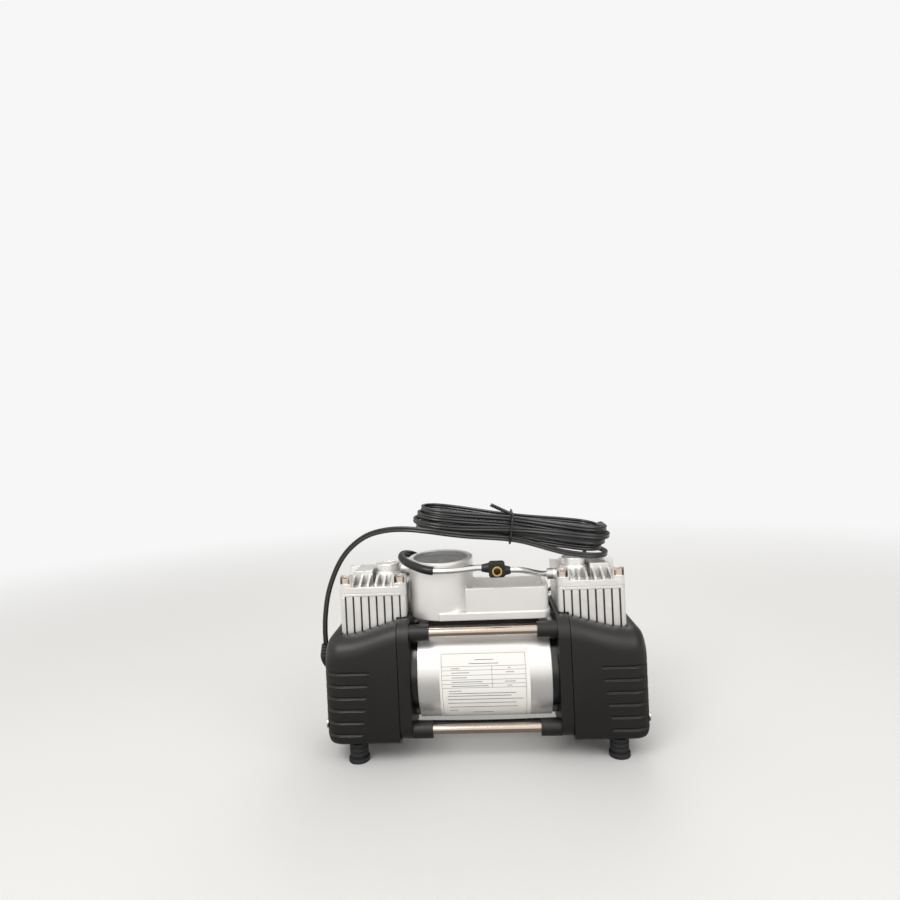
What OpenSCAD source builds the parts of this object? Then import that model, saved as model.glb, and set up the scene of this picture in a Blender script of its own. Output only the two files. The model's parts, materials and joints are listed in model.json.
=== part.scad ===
// Twin-cylinder 12 V air compressor: a motor between two cylinder stacks, tied by four rods.
// Frame: X runs along the motor, -Y is the front, Z is up. The origin is on the floor, under the middle.

/* [Overall] */
// Width over the two end covers
overall_w = 276; // [270:1:284]
// Depth of the end covers, front to back
cover_d = 96; // [94:1:100]
// Height of the motor axis above the floor
axis_z = 69; // [68:1:70]

/* [Motor] */
// Outer radius of the motor can
can_r = 43.5; // [43:0.5:44]
// Half length of the motor can
can_half = 57; // [56:0.5:58]
// Radius of the motor shaft
shaft_r = 5; // [4.5:0.5:5.5]
// Height of each tie rod above or below the motor axis
rod_rise = 41.6; // [41:0.1:42]
// Depth of each tie rod from the motor axis
rod_reach = 38.4; // [38:0.1:39]
// Radius of a tie rod
rod_r = 4; // [3.5:0.1:4.2]

/* [Covers] */
// Height of the underside of the covers
cover_z = 18; // [17:0.5:19]
// Height of the outer shoulder of a cover
shoulder_z = 108.5; // [107:0.5:110]
// Height of the raised inner edge of a cover
crest_z = 121.5; // [121:0.5:122]
// Wall thickness of a cover
wall = 2.5; // [2:0.1:3]
// Number of vent grooves on each cover
vents = 6; // [3:1:6]

/* [Cylinders] */
// Distance of each cylinder axis from the middle
stack_x = 95; // [94.5:0.5:95.5]
// Half width of a finned cylinder block
block_half = 29; // [28.5:0.5:29]
// Radius of a cylinder bore
bore_r = 16; // [15.5:0.5:16.5]
// Height of the top face of a cylinder block
deck_z = 141; // [140.5:0.5:141]
// Throw of a crank, half the stroke
throw = 7; // [6.5:0.5:7]
// Cooling slots along each face of a block
slots = 8; // [6:1:8]

/* [Gauge pod] */
// Place of the gauge centre along the motor
gauge_x = -35.5; // [-36:0.5:-35]
// Radius of the gauge cup
cup_r = 29; // [28.5:0.5:29]
// Height of the middle of the gauge face
gauge_z = 169; // [168.5:0.5:169]
// Forward tilt of the gauge face, in degrees
gauge_tilt = 3; // [2:0.5:3]

/* [Cord] */
// Diameter of the power cord
cord_d = 5.2; // [5:0.1:5.2]
// Loops in the tied hank, the last one ending in the right fold
hank_loops = 7.25; // [7.25:1:7.25]
// Radius of the innermost fold of the hank
fold_r = 15.6; // [15.6:0.1:16]

/* [Hidden] */
$fn = 64;

// Stations along X, measured from the middle outwards
plate_in = 63;
plate_out = 73;
cover_in = 73.4;
cover_out = overall_w / 2;
half_d = cover_d / 2;
sock = 5;
// Corner radius of the covers seen from the end and from above
corner_r = 16;
// Cover screws on the outer ends, and how deep they go
screw_y = 36;
screw_z = 34;
screw_in = 124;
// How far short of the outer end the posts for these screws stop
post_short = 7;
// Places of the feet
foot_x = 112;
foot_y = 33;
// Outer corner radii of the covers seen from the front, at the top and at the bottom
nose_r = 12;
low_nose = 6;
// Radius of the covers' long lower edges, and how high that closer section reaches
low_r = 7;
low_top = 80;
// The shoulder's steps, from the inner edge to where it runs level
crest_from = 60;
crest_end = 124;
crest_step = (crest_end - cover_in) / 8;
vent_pitch = 10.4;
vent_h = 2.4;
vent_cut = 1.2;
vent_z0 = 27;
// How far round the end the vents reach, from the middle plane
vent_turn = 26;

// Cylinder and head stack
flange_half = 29.5;
block_z = 104;
case_y = 27;
fin_gap = 1.5;
block_r = 3.5;
fin_deep = 6;
plate_t = 2.4;
head_z = deck_z + plate_t;
head_base_t = 5.4;
head_top = head_z + head_base_t;
boss_x = -10;
boss_top = 164;
port_z = 153.5;
port_y = -20;
port_len = 2;
block_top = 160.2;
post_in = 24;
// Square pockets that the head screws stand in
pocket_half = 5.4;
pocket_top = 158;
screw_seat = 152;

// Motion
crown_top = deck_z - 1;
piston_h = 16;
piston_r = bore_r - 0.06;
roller_r = 8;
// Crank webs on the shaft, and the pins that carry the rollers
web_in = 82;
web_out = 88;
pin_r = 4;
yoke_z = 13;
yoke_y = 20;
yoke_w = 10;
slot_gap = 0.15;

// Gauge pod
gauge_y = -5;
pod_z = 119;
tray_x0 = -13.5;
tray_x1 = 58;
tray_front = -34;
tray_back = 12;
tray_t = 3;
tray_r = 8;
// Skirt round the foot of the tray
skirt_h = 6;
skirt_out = 1.2;
// Screws that hold the pod to its saddle
pod_screw_x = [12, 40];
pod_screw_y = -10;
tray_top = 146;

// Tee
tee_lo = [7.5, -44, 157];
tee_hi = [21.5, -30, 168.6];
tee_mid = (tee_lo + tee_hi) / 2;
tee_r = 2.5;
// Collars of the tee: where they end, and the heights of the tubes that leave them
left_collar = [1.5, -37, 164];
right_collar = [26, -37, 161.4];
collar_r = 4.5;
port_out = -47.8;
port_r = 4.2;
port_bore = 2.9;
// Hose from the tee to the gauge
feed_y = -14;
feed_z = 160;
feed_r = 2.2;
tube_r = 2.5;
sleeve_r = 3.5;
// Where the tubes meet the heads, and where the left tube enters its sleeve
right_port = [stack_x - flange_half - port_len, port_y, port_z];
elbow = [-59.2, -port_y, 159.5];
tube_join = [-40, -38.2, 163];

// Rating label, as an arc round the can, from 35 degrees above the front to 64 below it
label_from = 234.6;
label_sweep = 99;

// Switch on the left end
switch_z = 78;
switch_y = -8;
switch_h = 26;
switch_w = 18;
rocker_x = -130;
// Tilt of the rocker when it is off, in degrees
rocker_rest = 8;

// Cord, hank and plug
cord_r = cord_d / 2;
// Middle of the hank, and how far its left end and its back edge are raised, in degrees
hank_mid = [30, 17, 191.3];
hank_slope = 8.5;
hank_tilt = 2;
run_way = [cos(hank_slope), 0, -sin(hank_slope)];
fold_way = [sin(hank_slope) * sin(hank_tilt), cos(hank_tilt), cos(hank_slope) * sin(hank_tilt)];
pile_way = cross(run_way, fold_way);
hank_half = 64;
// How far the first loop droops at its right fold, onto the right head
droop = 5;
layer_step = 5.9;
loop_step = 6.3;
pinch = 11;
per_layer = 2;
// Share of a loop spent on each straight run
run_share = 0.27;
cord_sides = 8;
hank_sides = 6;
hank_rings = 24;
gland_z = 62;
gland_y = 20;
gland_bend = 12;
gland_r = 5.6;
gland_tip = 84;
// End of the plug's boot
plug_y = 27;
plug_z = 120.4;
plug_x = 38.2;

// Route of the cord from the gland, up the left end and along the hank's front to its tie
lead_route = [
    [-152, 20, gland_tip], [-152, 20, 90], [-152, 20, 98], [-151, 20, 112], [-147.5, 19.3, 131],
    [-141, 17.5, 149], [-131.5, 14, 166], [-119, 9, 179.5], [-103, 2, 189.8], [-84, -7, 195.2],
    [-64, -14, 196.4], [-44, -17.8, 194.4], [-26, -17.2, 191.2], [-10, -12.2, 188.1], [2, -6.6, 186],
    [13, -2, 184.2]
];
// Route of the tail, from the hank's right fold down behind the right head to the plug
tail_route = [
    [117.3, 34.9, 187.4], [115.4, 46.8, 183.6], [112.2, 55.1, 175.2], [108.1, 58.9, 164.3],
    [102.7, 58.4, 153], [95.6, 54.5, 143.2], [86.8, 48.7, 135.8], [76.8, 42.1, 130.4], [66.1, 35.6, 126.2],
    [59.8, 32, 123.9], [54.1, 29.4, 122], [48.8, 27.7, 120.9],
    [plug_x + cord_d, plug_y, plug_z], [plug_x, plug_y, plug_z]
];

// A box between two corners
module box(lo, hi) { translate(lo) cube(hi - lo); }

// A rod along X, from x0 to x1
module bar_x(x0, x1, y, z, r) { translate([x0, y, z]) rotate([0, 90, 0]) cylinder(h = x1 - x0, r = r); }

// A ring along X
module ring_x(x0, x1, r_in, r_out) {
    translate([x0, 0, axis_z]) rotate([0, 90, 0]) difference() {
        cylinder(h = x1 - x0, r = r_out);
        translate([0, 0, -1]) cylinder(h = x1 - x0 + 2, r = r_in);
    }
}

// Left pieces are the right ones seen in a mirror
module side(s) { if (s < 0) mirror([1, 0, 0]) children(); else children(); }

// A flat rectangle with round corners, centred
module round_rect(w, h, r) {
    square([w - 2 * r, h], center = true);
    square([w, h - 2 * r], center = true);
    for (x = [-1, 1], y = [-1, 1]) translate([x * (w / 2 - r), y * (h / 2 - r)]) circle(r);
}

// A round-cornered section in Y and Z, drawn out along X
module end_section(x0, x1, inset, top, r) {
    h = top - cover_z - 2 * inset;
    translate([x0, 0, cover_z + inset + h / 2]) rotate([90, 0, 90])
        linear_extrude(x1 - x0) round_rect(cover_d - 2 * inset, h, r);
}

// Smooth curves: a point on a Catmull-Rom curve, and a route made finer
function cr(a, b, c, d, t) =
    b + (c - a) * t / 2 + (a - b * 2.5 + c * 2 - d / 2) * t * t + ((b - c) * 1.5 + (d - a) / 2) * t * t * t;
function at(p, i) = p[max(0, min(len(p) - 1, i))];
function finer(p, n) = concat(
    [for (i = [0:len(p) - 2], k = [0:n - 1]) cr(at(p, i - 1), p[i], p[i + 1], at(p, i + 2), k / n)],
    [p[len(p) - 1]]);

// A tube swept along points, with every ring square to the path
function unit(v) = v / norm(v);
function heading(p, i) = unit(at(p, i + 1) - at(p, i - 1));
function carried(n, d) = unit(n - d * (n * d));
function frames(p, i, n) = i == len(p) ? []
    : let (m = carried(n, heading(p, i))) concat([m], frames(p, i + 1, m));
module tube(p, r, sides) {
    start = abs(heading(p, 0) * [0, 0, 1]) < 0.8 ? [0, 0, 1] : [0, 1, 0];
    normals = frames(p, 0, start);
    count = len(p);
    ring_points = [for (i = [0:count - 1], k = [0:sides - 1])
        let (d = heading(p, i), n = normals[i], b = cross(d, n), a = 360 * k / sides)
        p[i] + r * (cos(a) * n + sin(a) * b)];
    walls = [for (i = [0:count - 2], k = [0:sides - 1], half = [0, 1])
        let (a = i * sides + k, b = i * sides + (k + 1) % sides, c = a + sides, d = b + sides)
        half == 0 ? [a, d, b] : [a, c, d]];
    near = [for (k = [1:sides - 2]) [0, k, k + 1]];
    last = (count - 1) * sides;
    far = [for (k = [1:sides - 2]) [last, last + k + 1, last + k]];
    polyhedron(ring_points, concat(walls, near, far));
}

// End plates: the black strips that carry the rods, the bearings and the covers
module end_plate(s) {
    color("#1b1b1c") side(s) difference() {
        union() {
            end_section(plate_in, plate_out, 0.4, crest_z, corner_r);
            for (y = [-1, 1]) bar_x(plate_out - 1, cover_out - post_short, y * screw_y, screw_z, 5);
        }
        for (y = [-1, 1]) bar_x(screw_in, cover_out, y * screw_y, screw_z, 2);
        bar_x(plate_in + 1, plate_out + 1, 0, axis_z, 13);
        bar_x(plate_in - 1, plate_out, 0, axis_z, shaft_r + 2);
        for (y = [-1, 1], z = [-1, 1])
            bar_x(plate_in - 1, plate_in + sock, y * rod_reach, axis_z + z * rod_rise, rod_r);
    }
}
module end_plate_left() { end_plate(-1); }
module end_plate_right() { end_plate(1); }

// Covers: hollow shells over the crankcases, with a shoulder that climbs to the inner edge
function shoulder(x) = let (t = min(1, max(0, (x - crest_from) / (crest_end - crest_from))))
    crest_z - (crest_z - shoulder_z) * (1 - cos(180 * t)) / 2;
module front_outline(inset) {
    out = cover_out - inset;
    low = cover_z + inset;
    high = shoulder_z - inset;
    points = concat(
        [[cover_in - 1, low]],
        [for (i = [0:6]) [out - low_nose + low_nose * sin(15 * i), low + low_nose - low_nose * cos(15 * i)]],
        [for (i = [0:6]) [out - nose_r + nose_r * cos(15 * i), high - nose_r + nose_r * sin(15 * i)]],
        [for (x = [crest_end - 2:-4:cover_in]) [x, shoulder(x) - inset]],
        [[cover_in - 1, shoulder(cover_in - 1) - inset]]);
    polygon(points);
}
module plan_outline(inset) {
    translate([cover_in - 40, -half_d + inset])
        square([cover_out - inset - corner_r - cover_in + 40, cover_d - 2 * inset]);
    translate([cover_out / 2, -half_d + corner_r])
        square([cover_out / 2 - inset, cover_d - 2 * corner_r]);
    for (y = [-1, 1]) translate([cover_out - corner_r, y * (half_d - corner_r)]) circle(corner_r - inset);
}
module cover_body(inset) {
    intersection() {
        union() {
            end_section(cover_in, cover_out, inset, shoulder_z, corner_r - inset);
            end_section(cover_in, cover_out, inset, low_top, low_r - inset);
            for (x = [cover_in:crest_step:crest_end - crest_step])
                end_section(x, x + crest_step, inset, shoulder(x), corner_r - inset);
        }
        translate([0, half_d + 1, 0]) rotate([90, 0, 0]) linear_extrude(cover_d + 2) front_outline(inset);
        linear_extrude(2 * crest_z) plan_outline(inset);
    }
}
module vent_band(k) {
    start = 106 - 1.45 * k;
    translate([0, 0, vent_z0 + k * vent_pitch]) intersection() {
        linear_extrude(vent_h) difference() {
            plan_outline(-1);
            plan_outline(vent_cut);
        }
        union() for (y = [-1, 1])
            box([start, y > 0 ? vent_turn : -half_d - 2, 0],
                [cover_out + 2, y > 0 ? half_d + 2 : -vent_turn, vent_h]);
    }
}
module cover(s) {
    color("#202021") difference() {
        side(s) difference() {
            cover_body(0);
            intersection() {
                cover_body(wall);
                box([cover_in - 1, -half_d, 0], [cover_out, half_d, 2 * crest_z]);
            }
            box([cover_in - 2, -half_d + wall, cover_z + wall],
                [cover_in + 2, half_d - wall, shoulder_z - wall]);
            box([plate_in, -block_half - 0.6, shoulder_z - 12],
                [stack_x + block_half + 0.6, block_half + 0.6, deck_z]);
            for (k = [0:vents - 1]) vent_band(k);
            for (y = [-1, 1]) {
                translate([foot_x, y * foot_y, cover_z - 1]) cylinder(h = wall + 2, r = 2.4);
                bar_x(cover_out - post_short, cover_out + 1, y * screw_y, screw_z, 2.2);
                bar_x(cover_out - 1.4, cover_out + 1, y * screw_y, screw_z, 4.3);
            }
        }
        if (s < 0) {
            box([-cover_out - 1, switch_y - switch_w / 2, switch_z - switch_h / 2],
                [-cover_out + wall + 1, switch_y + switch_w / 2, switch_z + switch_h / 2]);
            bar_x(-cover_out - 1, -cover_out + wall + 1, gland_y, gland_z, gland_r - 0.6);
        }
    }
}
module cover_left() { cover(-1); }
module cover_right() { cover(1); }

// Screws at the outer ends of the covers
module cover_screws() {
    color("#8d8f92") for (s = [-1, 1]) side(s) for (y = [-1, 1]) difference() {
        union() {
            bar_x(screw_in, cover_out - 1.4, y * screw_y, screw_z, 2);
            bar_x(cover_out - 1.4, cover_out - 0.2, y * screw_y, screw_z, 4);
        }
        box([cover_out - 0.9, y * screw_y - 3, screw_z - 0.5], [cover_out, y * screw_y + 3, screw_z + 0.5]);
        box([cover_out - 0.9, y * screw_y - 0.5, screw_z - 3], [cover_out, y * screw_y + 0.5, screw_z + 3]);
    }
}

// Crankcases: cast boxes behind the covers, open towards the motor and the cylinder
module crankcase(s) {
    color("#8f9296") side(s) difference() {
        box([plate_out, -case_y, 44], [118, case_y, block_z]);
        box([plate_out - 1, -case_y + 4, 47], [115, case_y - 4, block_z + 1]);
    }
}
module crankcase_left() { crankcase(-1); }
module crankcase_right() { crankcase(1); }

// Finned cylinders
module cylinder_block(s) {
    pitch = 2 * block_half / (slots + 0.5);
    color("#b9bcc0") side(s) difference() {
        translate([stack_x, 0, block_z]) linear_extrude(deck_z - block_z)
            round_rect(2 * block_half, 2 * block_half, block_r);
        box([stack_x - block_half - 1, -block_half - 1, block_z - 1],
            [cover_in + 1.4, block_half + 1, crest_z + 0.3]);
        translate([stack_x, 0, block_z - 1]) cylinder(h = deck_z - block_z + 2, r = bore_r);
        for (k = [0:slots - 1]) {
            along = -block_half + pitch * (k + 0.75);
            for (turn = [0:90:270]) translate([stack_x, 0, block_z + 0.5]) rotate([0, 0, turn])
                translate([along - fin_gap / 2, -block_half - 1, 0])
                    cube([fin_gap, fin_deep + 1, deck_z - block_z]);
        }
    }
}
module cylinder_left() { cylinder_block(-1); }
module cylinder_right() { cylinder_block(1); }

// Valve plates between the blocks and the heads
module valve_plates() {
    color("#a9acb0") for (s = [-1, 1]) side(s) translate([stack_x, 0, deck_z]) difference() {
        linear_extrude(plate_t) round_rect(2 * flange_half, 2 * flange_half, 6);
        for (x = [-7, 7]) translate([x, 0, -1]) cylinder(h = plate_t + 2, r = 2);
        for (x = [-1, 1], y = [-1, 1]) translate([x * post_in, y * post_in, -1])
            cylinder(h = plate_t + 2, r = 2.2);
    }
}

// Heads: one casting, turned half round for the left stack
module head_casting() {
    difference() {
        union() {
            linear_extrude(head_base_t) round_rect(2 * flange_half, 2 * flange_half, 6);
            translate([boss_x, 0, head_base_t]) cylinder(h = 9, r1 = 14, r2 = 12);
            translate([boss_x, 0, head_base_t + 9]) cylinder(h = boss_top - head_top - 9, r = 11);
            translate([0, 14, 0]) rotate([90, 0, 0]) linear_extrude(28) polygon([
                [2, head_base_t], [2, block_top - head_z], [17, block_top - head_z],
                [27, head_base_t + 0.6], [27, head_base_t]]);
            for (x = [-17, -10, -3, 4, 11, 18]) translate([x - 1, 0, 0]) rotate([90, 0, 90]) linear_extrude(2)
                polygon([[-28, head_base_t], [-28, head_base_t + 2], [-16, 13], [16, 13],
                    [28, head_base_t + 2], [28, head_base_t]]);
            intersection() {
                linear_extrude(pocket_top - head_z) round_rect(2 * flange_half, 2 * flange_half, 6);
                union() for (x = [-1, 1], y = [-1, 1]) translate([x * post_in, y * post_in, 0])
                    box([-pocket_half, -pocket_half, 0], [pocket_half, pocket_half, pocket_top - head_z]);
            }
            translate([-flange_half - port_len, port_y, port_z - head_z]) rotate([0, 90, 0])
                cylinder(h = 12, r = 4.6);
        }
        for (x = [-1, 1], y = [-1, 1]) translate([x * post_in, y * post_in, 0]) {
            translate([0, 0, -1]) cylinder(h = 30, r = 2.2);
            translate([0, 0, screw_seat - head_z]) cylinder(h = 20, r = 4.4);
            box([-4.4, y > 0 ? 0 : -10, screw_seat - head_z], [4.4, y > 0 ? 10 : 0, 30]);
        }
        translate([-flange_half - port_len - 1, port_y, port_z - head_z]) rotate([0, 90, 0])
            cylinder(h = port_len + 1, r = tube_r);
        translate([0, 0, -1]) cylinder(h = 4, r = 14);
    }
}
module head_left() { color("#c2c5c8") translate([-stack_x, 0, head_z]) rotate([0, 0, 180]) head_casting(); }
module head_right() { color("#c2c5c8") translate([stack_x, 0, head_z]) head_casting(); }

// Socket screws that clamp the heads down
module head_screws() {
    color("#9a9da1") for (s = [-1, 1], x = [-1, 1], y = [-1, 1])
        translate([s * stack_x + x * post_in, y * post_in, 0]) difference() {
            union() {
                translate([0, 0, deck_z]) cylinder(h = screw_seat - deck_z, r = 2);
                translate([0, 0, screw_seat]) cylinder(h = 4.4, r = 4);
            }
            translate([0, 0, screw_seat + 2]) cylinder(h = 4, r = 2.1, $fn = 6);
        }
}

// Motor can, magnets and end rings
module motor_can() { color("#bfc1c3") ring_x(-can_half, can_half, can_r - 2, can_r); }
module motor_magnets() {
    color("#3a3a3c") for (y = [-1, 1]) difference() {
        ring_x(-34, 34, 33, can_r - 2.05);
        for (z = [-1, 1]) translate([-40, -50, axis_z + (z > 0 ? 26 : -76)]) cube([80, 100, 50]);
        translate([-40, y > 0 ? -50 : 0, 0]) cube([80, 50, 2 * axis_z]);
    }
}
module end_ring(s) {
    color("#161617") side(s) union() {
        ring_x(can_half, plate_in, 15, can_r - 1.4);
        ring_x(can_half - 4, can_half, can_r - 6, can_r - 2.05);
    }
}
module end_ring_left() { end_ring(-1); }
module end_ring_right() { end_ring(1); }
module shaft_bearings() {
    color("#8f9296") for (s = [-1, 1]) side(s) ring_x(plate_in + 1.2, plate_out - 0.4, shaft_r + 0.05, 12.95);
}
module brush_gear() {
    color("#2a2320") difference() {
        ring_x(-can_half, -43, 24, can_r - 6.1);
        for (y = [-1, 1]) box([-51, y > 0 ? 10 : -30, axis_z - 4.2],
            [-44.9, y > 0 ? 30 : -10, axis_z + 4.2]);
    }
}
module brushes() {
    color("#222222") for (y = [-1, 1])
        box([-50.8, y > 0 ? 13.4 : -29.6, axis_z - 4], [-45, y > 0 ? 29.6 : -13.4, axis_z + 4]);
}

// Tie rods and the ferrules that they sit in
module tie_rods() {
    color("#c9c4bd") for (y = [-1, 1], z = [-1, 1])
        bar_x(-plate_in - sock, plate_in + sock, y * rod_reach, axis_z + z * rod_rise, rod_r);
}
module rod_ferrules() {
    color("#18181a") for (s = [-1, 1], y = [-1, 1], z = [-1, 1]) side(s)
        translate([46, y * rod_reach, axis_z + z * rod_rise]) rotate([0, 90, 0]) difference() {
            cylinder(h = plate_in - 46, r = 7);
            translate([0, 0, -1]) cylinder(h = plate_in, r = rod_r);
        }
}

// Rubber feet, ribbed like a short bellows, and their screws
module feet() {
    rib = 1.6;
    color("#141415") for (x = [-foot_x, foot_x], y = [-foot_y, foot_y]) translate([x, y, 0]) difference() {
        union() {
            cylinder(h = cover_z, r = 6);
            cylinder(h = 3.2, r = 9);
            for (z = [5.4, 9.2, 13]) translate([0, 0, z]) cylinder(h = 2 * rib, r = 8);
        }
        translate([0, 0, -1]) cylinder(h = 9, r = 4.2);
        translate([0, 0, -1]) cylinder(h = 30, r = 2.4);
    }
}
module foot_screws() {
    color("#8d8f92") for (x = [-foot_x, foot_x], y = [-foot_y, foot_y]) translate([x, y, 0]) {
        translate([0, 0, 5]) cylinder(h = 3, r = 3.9);
        translate([0, 0, 8]) cylinder(h = cover_z + 4 - 8, r = 2);
    }
}

// Gauge pod: a cup for the gauge with an open accessory tray on its right
module in_gauge() { translate([gauge_x, gauge_y, gauge_z]) rotate([gauge_tilt, 0, 0]) children(); }
module tray_plan(from, inset) {
    deep = tray_back - tray_front;
    translate([from + inset, tray_front + inset])
        square([tray_x1 - tray_r - from - inset, deep - 2 * inset]);
    translate([tray_x1 - 12, tray_front + tray_r]) square([12 - inset, deep - 2 * tray_r]);
    for (y = [tray_front + tray_r, tray_back - tray_r])
        translate([tray_x1 - tray_r, y]) circle(tray_r - inset);
}
module gauge_pod() {
    color("#b5b8ba") difference() {
        union() {
            translate([gauge_x, gauge_y, pod_z]) cylinder(h = gauge_z - pod_z + 6, r = cup_r);
            translate([0, 0, pod_z]) linear_extrude(skirt_h) tray_plan(gauge_x, -skirt_out);
            translate([0, 0, pod_z]) linear_extrude(tray_top - pod_z) tray_plan(tray_x0, 0);
        }
        in_gauge() translate([-60, -60, 0]) cube([120, 120, 30]);
        in_gauge() translate([0, 0, -18]) cylinder(h = 40, r = cup_r - 1.8);
        difference() {
            translate([0, 0, pod_z + tray_t]) linear_extrude(60) tray_plan(tray_x0, tray_t);
            translate([gauge_x, gauge_y, 0]) cylinder(h = 300, r = cup_r);
        }
        for (x = pod_screw_x) translate([x, pod_screw_y, pod_z - 1]) cylinder(h = 10, r = 2.2);
        box([-plate_out, -half_d, pod_z - 1], [-plate_in + 0.4, half_d, crest_z + 0.2]);
        translate([tray_x1 - 10, -16, 134]) rotate([0, 90, 0]) cylinder(h = 20, r = 1.6);
        translate([-20, feed_y, feed_z]) rotate([0, 90, 0]) cylinder(h = 20, r = feed_r);
    }
}
module pod_saddle() {
    color("#232324") difference() {
        box([-48, -16, 100], [50, 9, pod_z]);
        bar_x(-60, 60, 0, axis_z, can_r);
        for (x = pod_screw_x) translate([x, pod_screw_y, 113.5]) cylinder(h = 12, r = 2);
    }
}
module pod_screws() {
    color("#8d8f92") {
        for (x = pod_screw_x) translate([x, pod_screw_y, 0]) {
            translate([0, 0, 113.5]) cylinder(h = pod_z + tray_t - 113.5, r = 2);
            translate([0, 0, pod_z + tray_t]) cylinder(h = 2.4, r = 4);
        }
        bar_x(tray_x1 - 6, tray_x1, -16, 134, 1.5);
        bar_x(tray_x1, tray_x1 + 2.4, -16, 134, 3);
    }
}

// Gauge: case, dial, needle, lens and bezel, all square to the tilted face
module gauge_case() {
    color("#2c2d2f") in_gauge() difference() {
        translate([0, 0, -17.6]) cylinder(h = 14.6, r = 27);
        translate([0, 0, -15]) cylinder(h = 20, r = 25.4);
    }
}
module gauge_dial() {
    color("#1c1d1f") in_gauge() difference() {
        translate([0, 0, -9]) cylinder(h = 1, r = 25.2);
        translate([0, 0, -10]) cylinder(h = 3, r = 1.6);
    }
}
module gauge_needle() {
    color("#d8d8d4") in_gauge() rotate([0, 0, 135]) {
        translate([0, 0, -14]) cylinder(h = 7.4, r = 1.2);
        translate([0, 0, -7.6]) cylinder(h = 2.2, r = 3);
        translate([0, 0, -7.4]) linear_extrude(0.8)
            polygon([[-1.1, -7], [1.1, -7], [0.9, 2], [0.3, 21], [-0.3, 21], [-0.9, 2]]);
    }
}
module gauge_lens() {
    color([0.3, 0.33, 0.36, 0.6]) in_gauge() translate([0, 0, -3]) cylinder(h = 1.6, r = 25.9);
}
module gauge_bezel() {
    color("#1a1a1b") in_gauge() difference() {
        translate([0, 0, -3]) cylinder(h = 3.4, r = 27);
        translate([0, 0, -1.4]) cylinder(h = 4, r = 25);
        translate([0, 0, -4]) cylinder(h = 2.6, r = 25.9);
    }
}
module gauge_feed() {
    plan = [[10, tee_hi[1]], [10, -28], [10, -26], [7.5, -19], [1, -14.6], [-4, feed_y], [-6.5, feed_y],
        [-9, feed_y]];
    color("#1c1c1d") tube(finer([for (p = plan) [p[0], p[1], feed_z]], 2), feed_r, 10);
}

// Tee block, brass outlet and the air tubes
module tee_block() {
    color("#1d1d1e") difference() {
        union() {
            translate([tee_mid[0], tee_hi[1], tee_mid[2]]) rotate([90, 0, 0])
                linear_extrude(tee_hi[1] - tee_lo[1])
                    round_rect(tee_hi[0] - tee_lo[0], tee_hi[2] - tee_lo[2], tee_r);
            translate(left_collar) rotate([0, 90, 0])
                cylinder(h = tee_lo[0] + 1 - left_collar[0], r1 = tube_r + 0.6, r2 = collar_r);
            translate(right_collar) rotate([0, -90, 0])
                cylinder(h = right_collar[0] - tee_hi[0] + 1, r1 = tube_r + 0.6, r2 = collar_r);
        }
        translate(tee_mid) rotate([90, 0, 0]) cylinder(h = 20, r = port_r);
    }
}
module outlet_port() {
    color("#c79a4b") translate(tee_mid) rotate([90, 0, 0]) difference() {
        cylinder(h = tee_mid[1] - port_out, r = port_r);
        translate([0, 0, 2]) cylinder(h = 20, r = port_bore);
    }
}
module tube_right() {
    color("#c9ccd0") tube(finer([right_collar, right_collar + [2.5, 0, 0], right_collar + [5.5, 0, 0],
        [39, -33.2, 159.7], [46, -28.5, 157],
        [53, -22.5, 154.3], [57.5, port_y, port_z], right_port], 2), tube_r, 12);
}
module tube_left() {
    color("#c9ccd0") tube(finer([left_collar, left_collar - [2.5, 0, 0], left_collar - [5.5, 0, 0],
        [-14, -38.1, 163.3], [-26, -38.9, 162.8], [-37, -38.5, 162.8], tube_join], 2), tube_r, 12);
}
module tube_sleeve() {
    color("#171718") tube(finer([tube_join, [-43, -37.9, 163.4], [-49, -36, 164.5], [-57, -30.5, 166.4],
        [-65, -22, 168.6], [-70, -11, 170.2], [-71, 1, 170.6], [-69.5, 9.5, 170], [-65.8, 15.6, 168.6],
        [-61.6, 19, 166.2], [-59.2, 20, 163], [-59.2, 20, 161.2], elbow], 2), sleeve_r, 10);
}
module tube_nuts() {
    color("#b08d4f") {
        difference() {
            bar_x(right_port[0] - 5, right_port[0], port_y, port_z, 4.6);
            bar_x(right_port[0] - 6, right_port[0] + 1, port_y, port_z, tube_r + 0.35);
        }
        box([-right_port[0], elbow[1] - 3.4, 149], [elbow[0] + 3, elbow[1] + 3.4, 155]);
        translate([elbow[0], elbow[1], 155]) cylinder(h = elbow[2] - 155, r = 4.2);
    }
}

// Rating label: a bare white sheet on the front of the can
module rating_label() {
    color("#efeeea") translate([-38.3, 0, axis_z]) rotate([0, 90, 0]) rotate([0, 0, label_from])
        rotate_extrude(angle = label_sweep) translate([can_r, 0]) square([0.3, 76.6]);
}

// Rocker switch in the left end
module switch_case() {
    color("#19191a") difference() {
        box([-cover_out + 1, switch_y - switch_w / 2, switch_z - switch_h / 2],
            [-120, switch_y + switch_w / 2, switch_z + switch_h / 2]);
        box([-cover_out, switch_y - 6.9, switch_z - 11.2], [-124, switch_y + 6.9, switch_z + 11.2]);
        translate([rocker_x, switch_y + 8.4, switch_z]) rotate([90, 0, 0]) cylinder(h = 16.8, r = 1.45);
    }
}
module switch_rocker() {
    color("#8f1d1a") translate([rocker_x, switch_y, switch_z]) rotate([90, 0, 0])
        rotate([0, 0, -rocker_rest]) {
        translate([0, 0, -6.4]) linear_extrude(12.8)
            polygon([[-5.6, -10], [-4.2, 0], [-5.6, 10], [-1, 10], [2.5, 3], [2.5, -3], [-1, -10]]);
        translate([0, 0, -8.3]) cylinder(h = 16.6, r = 1.4);
    }
}

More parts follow.
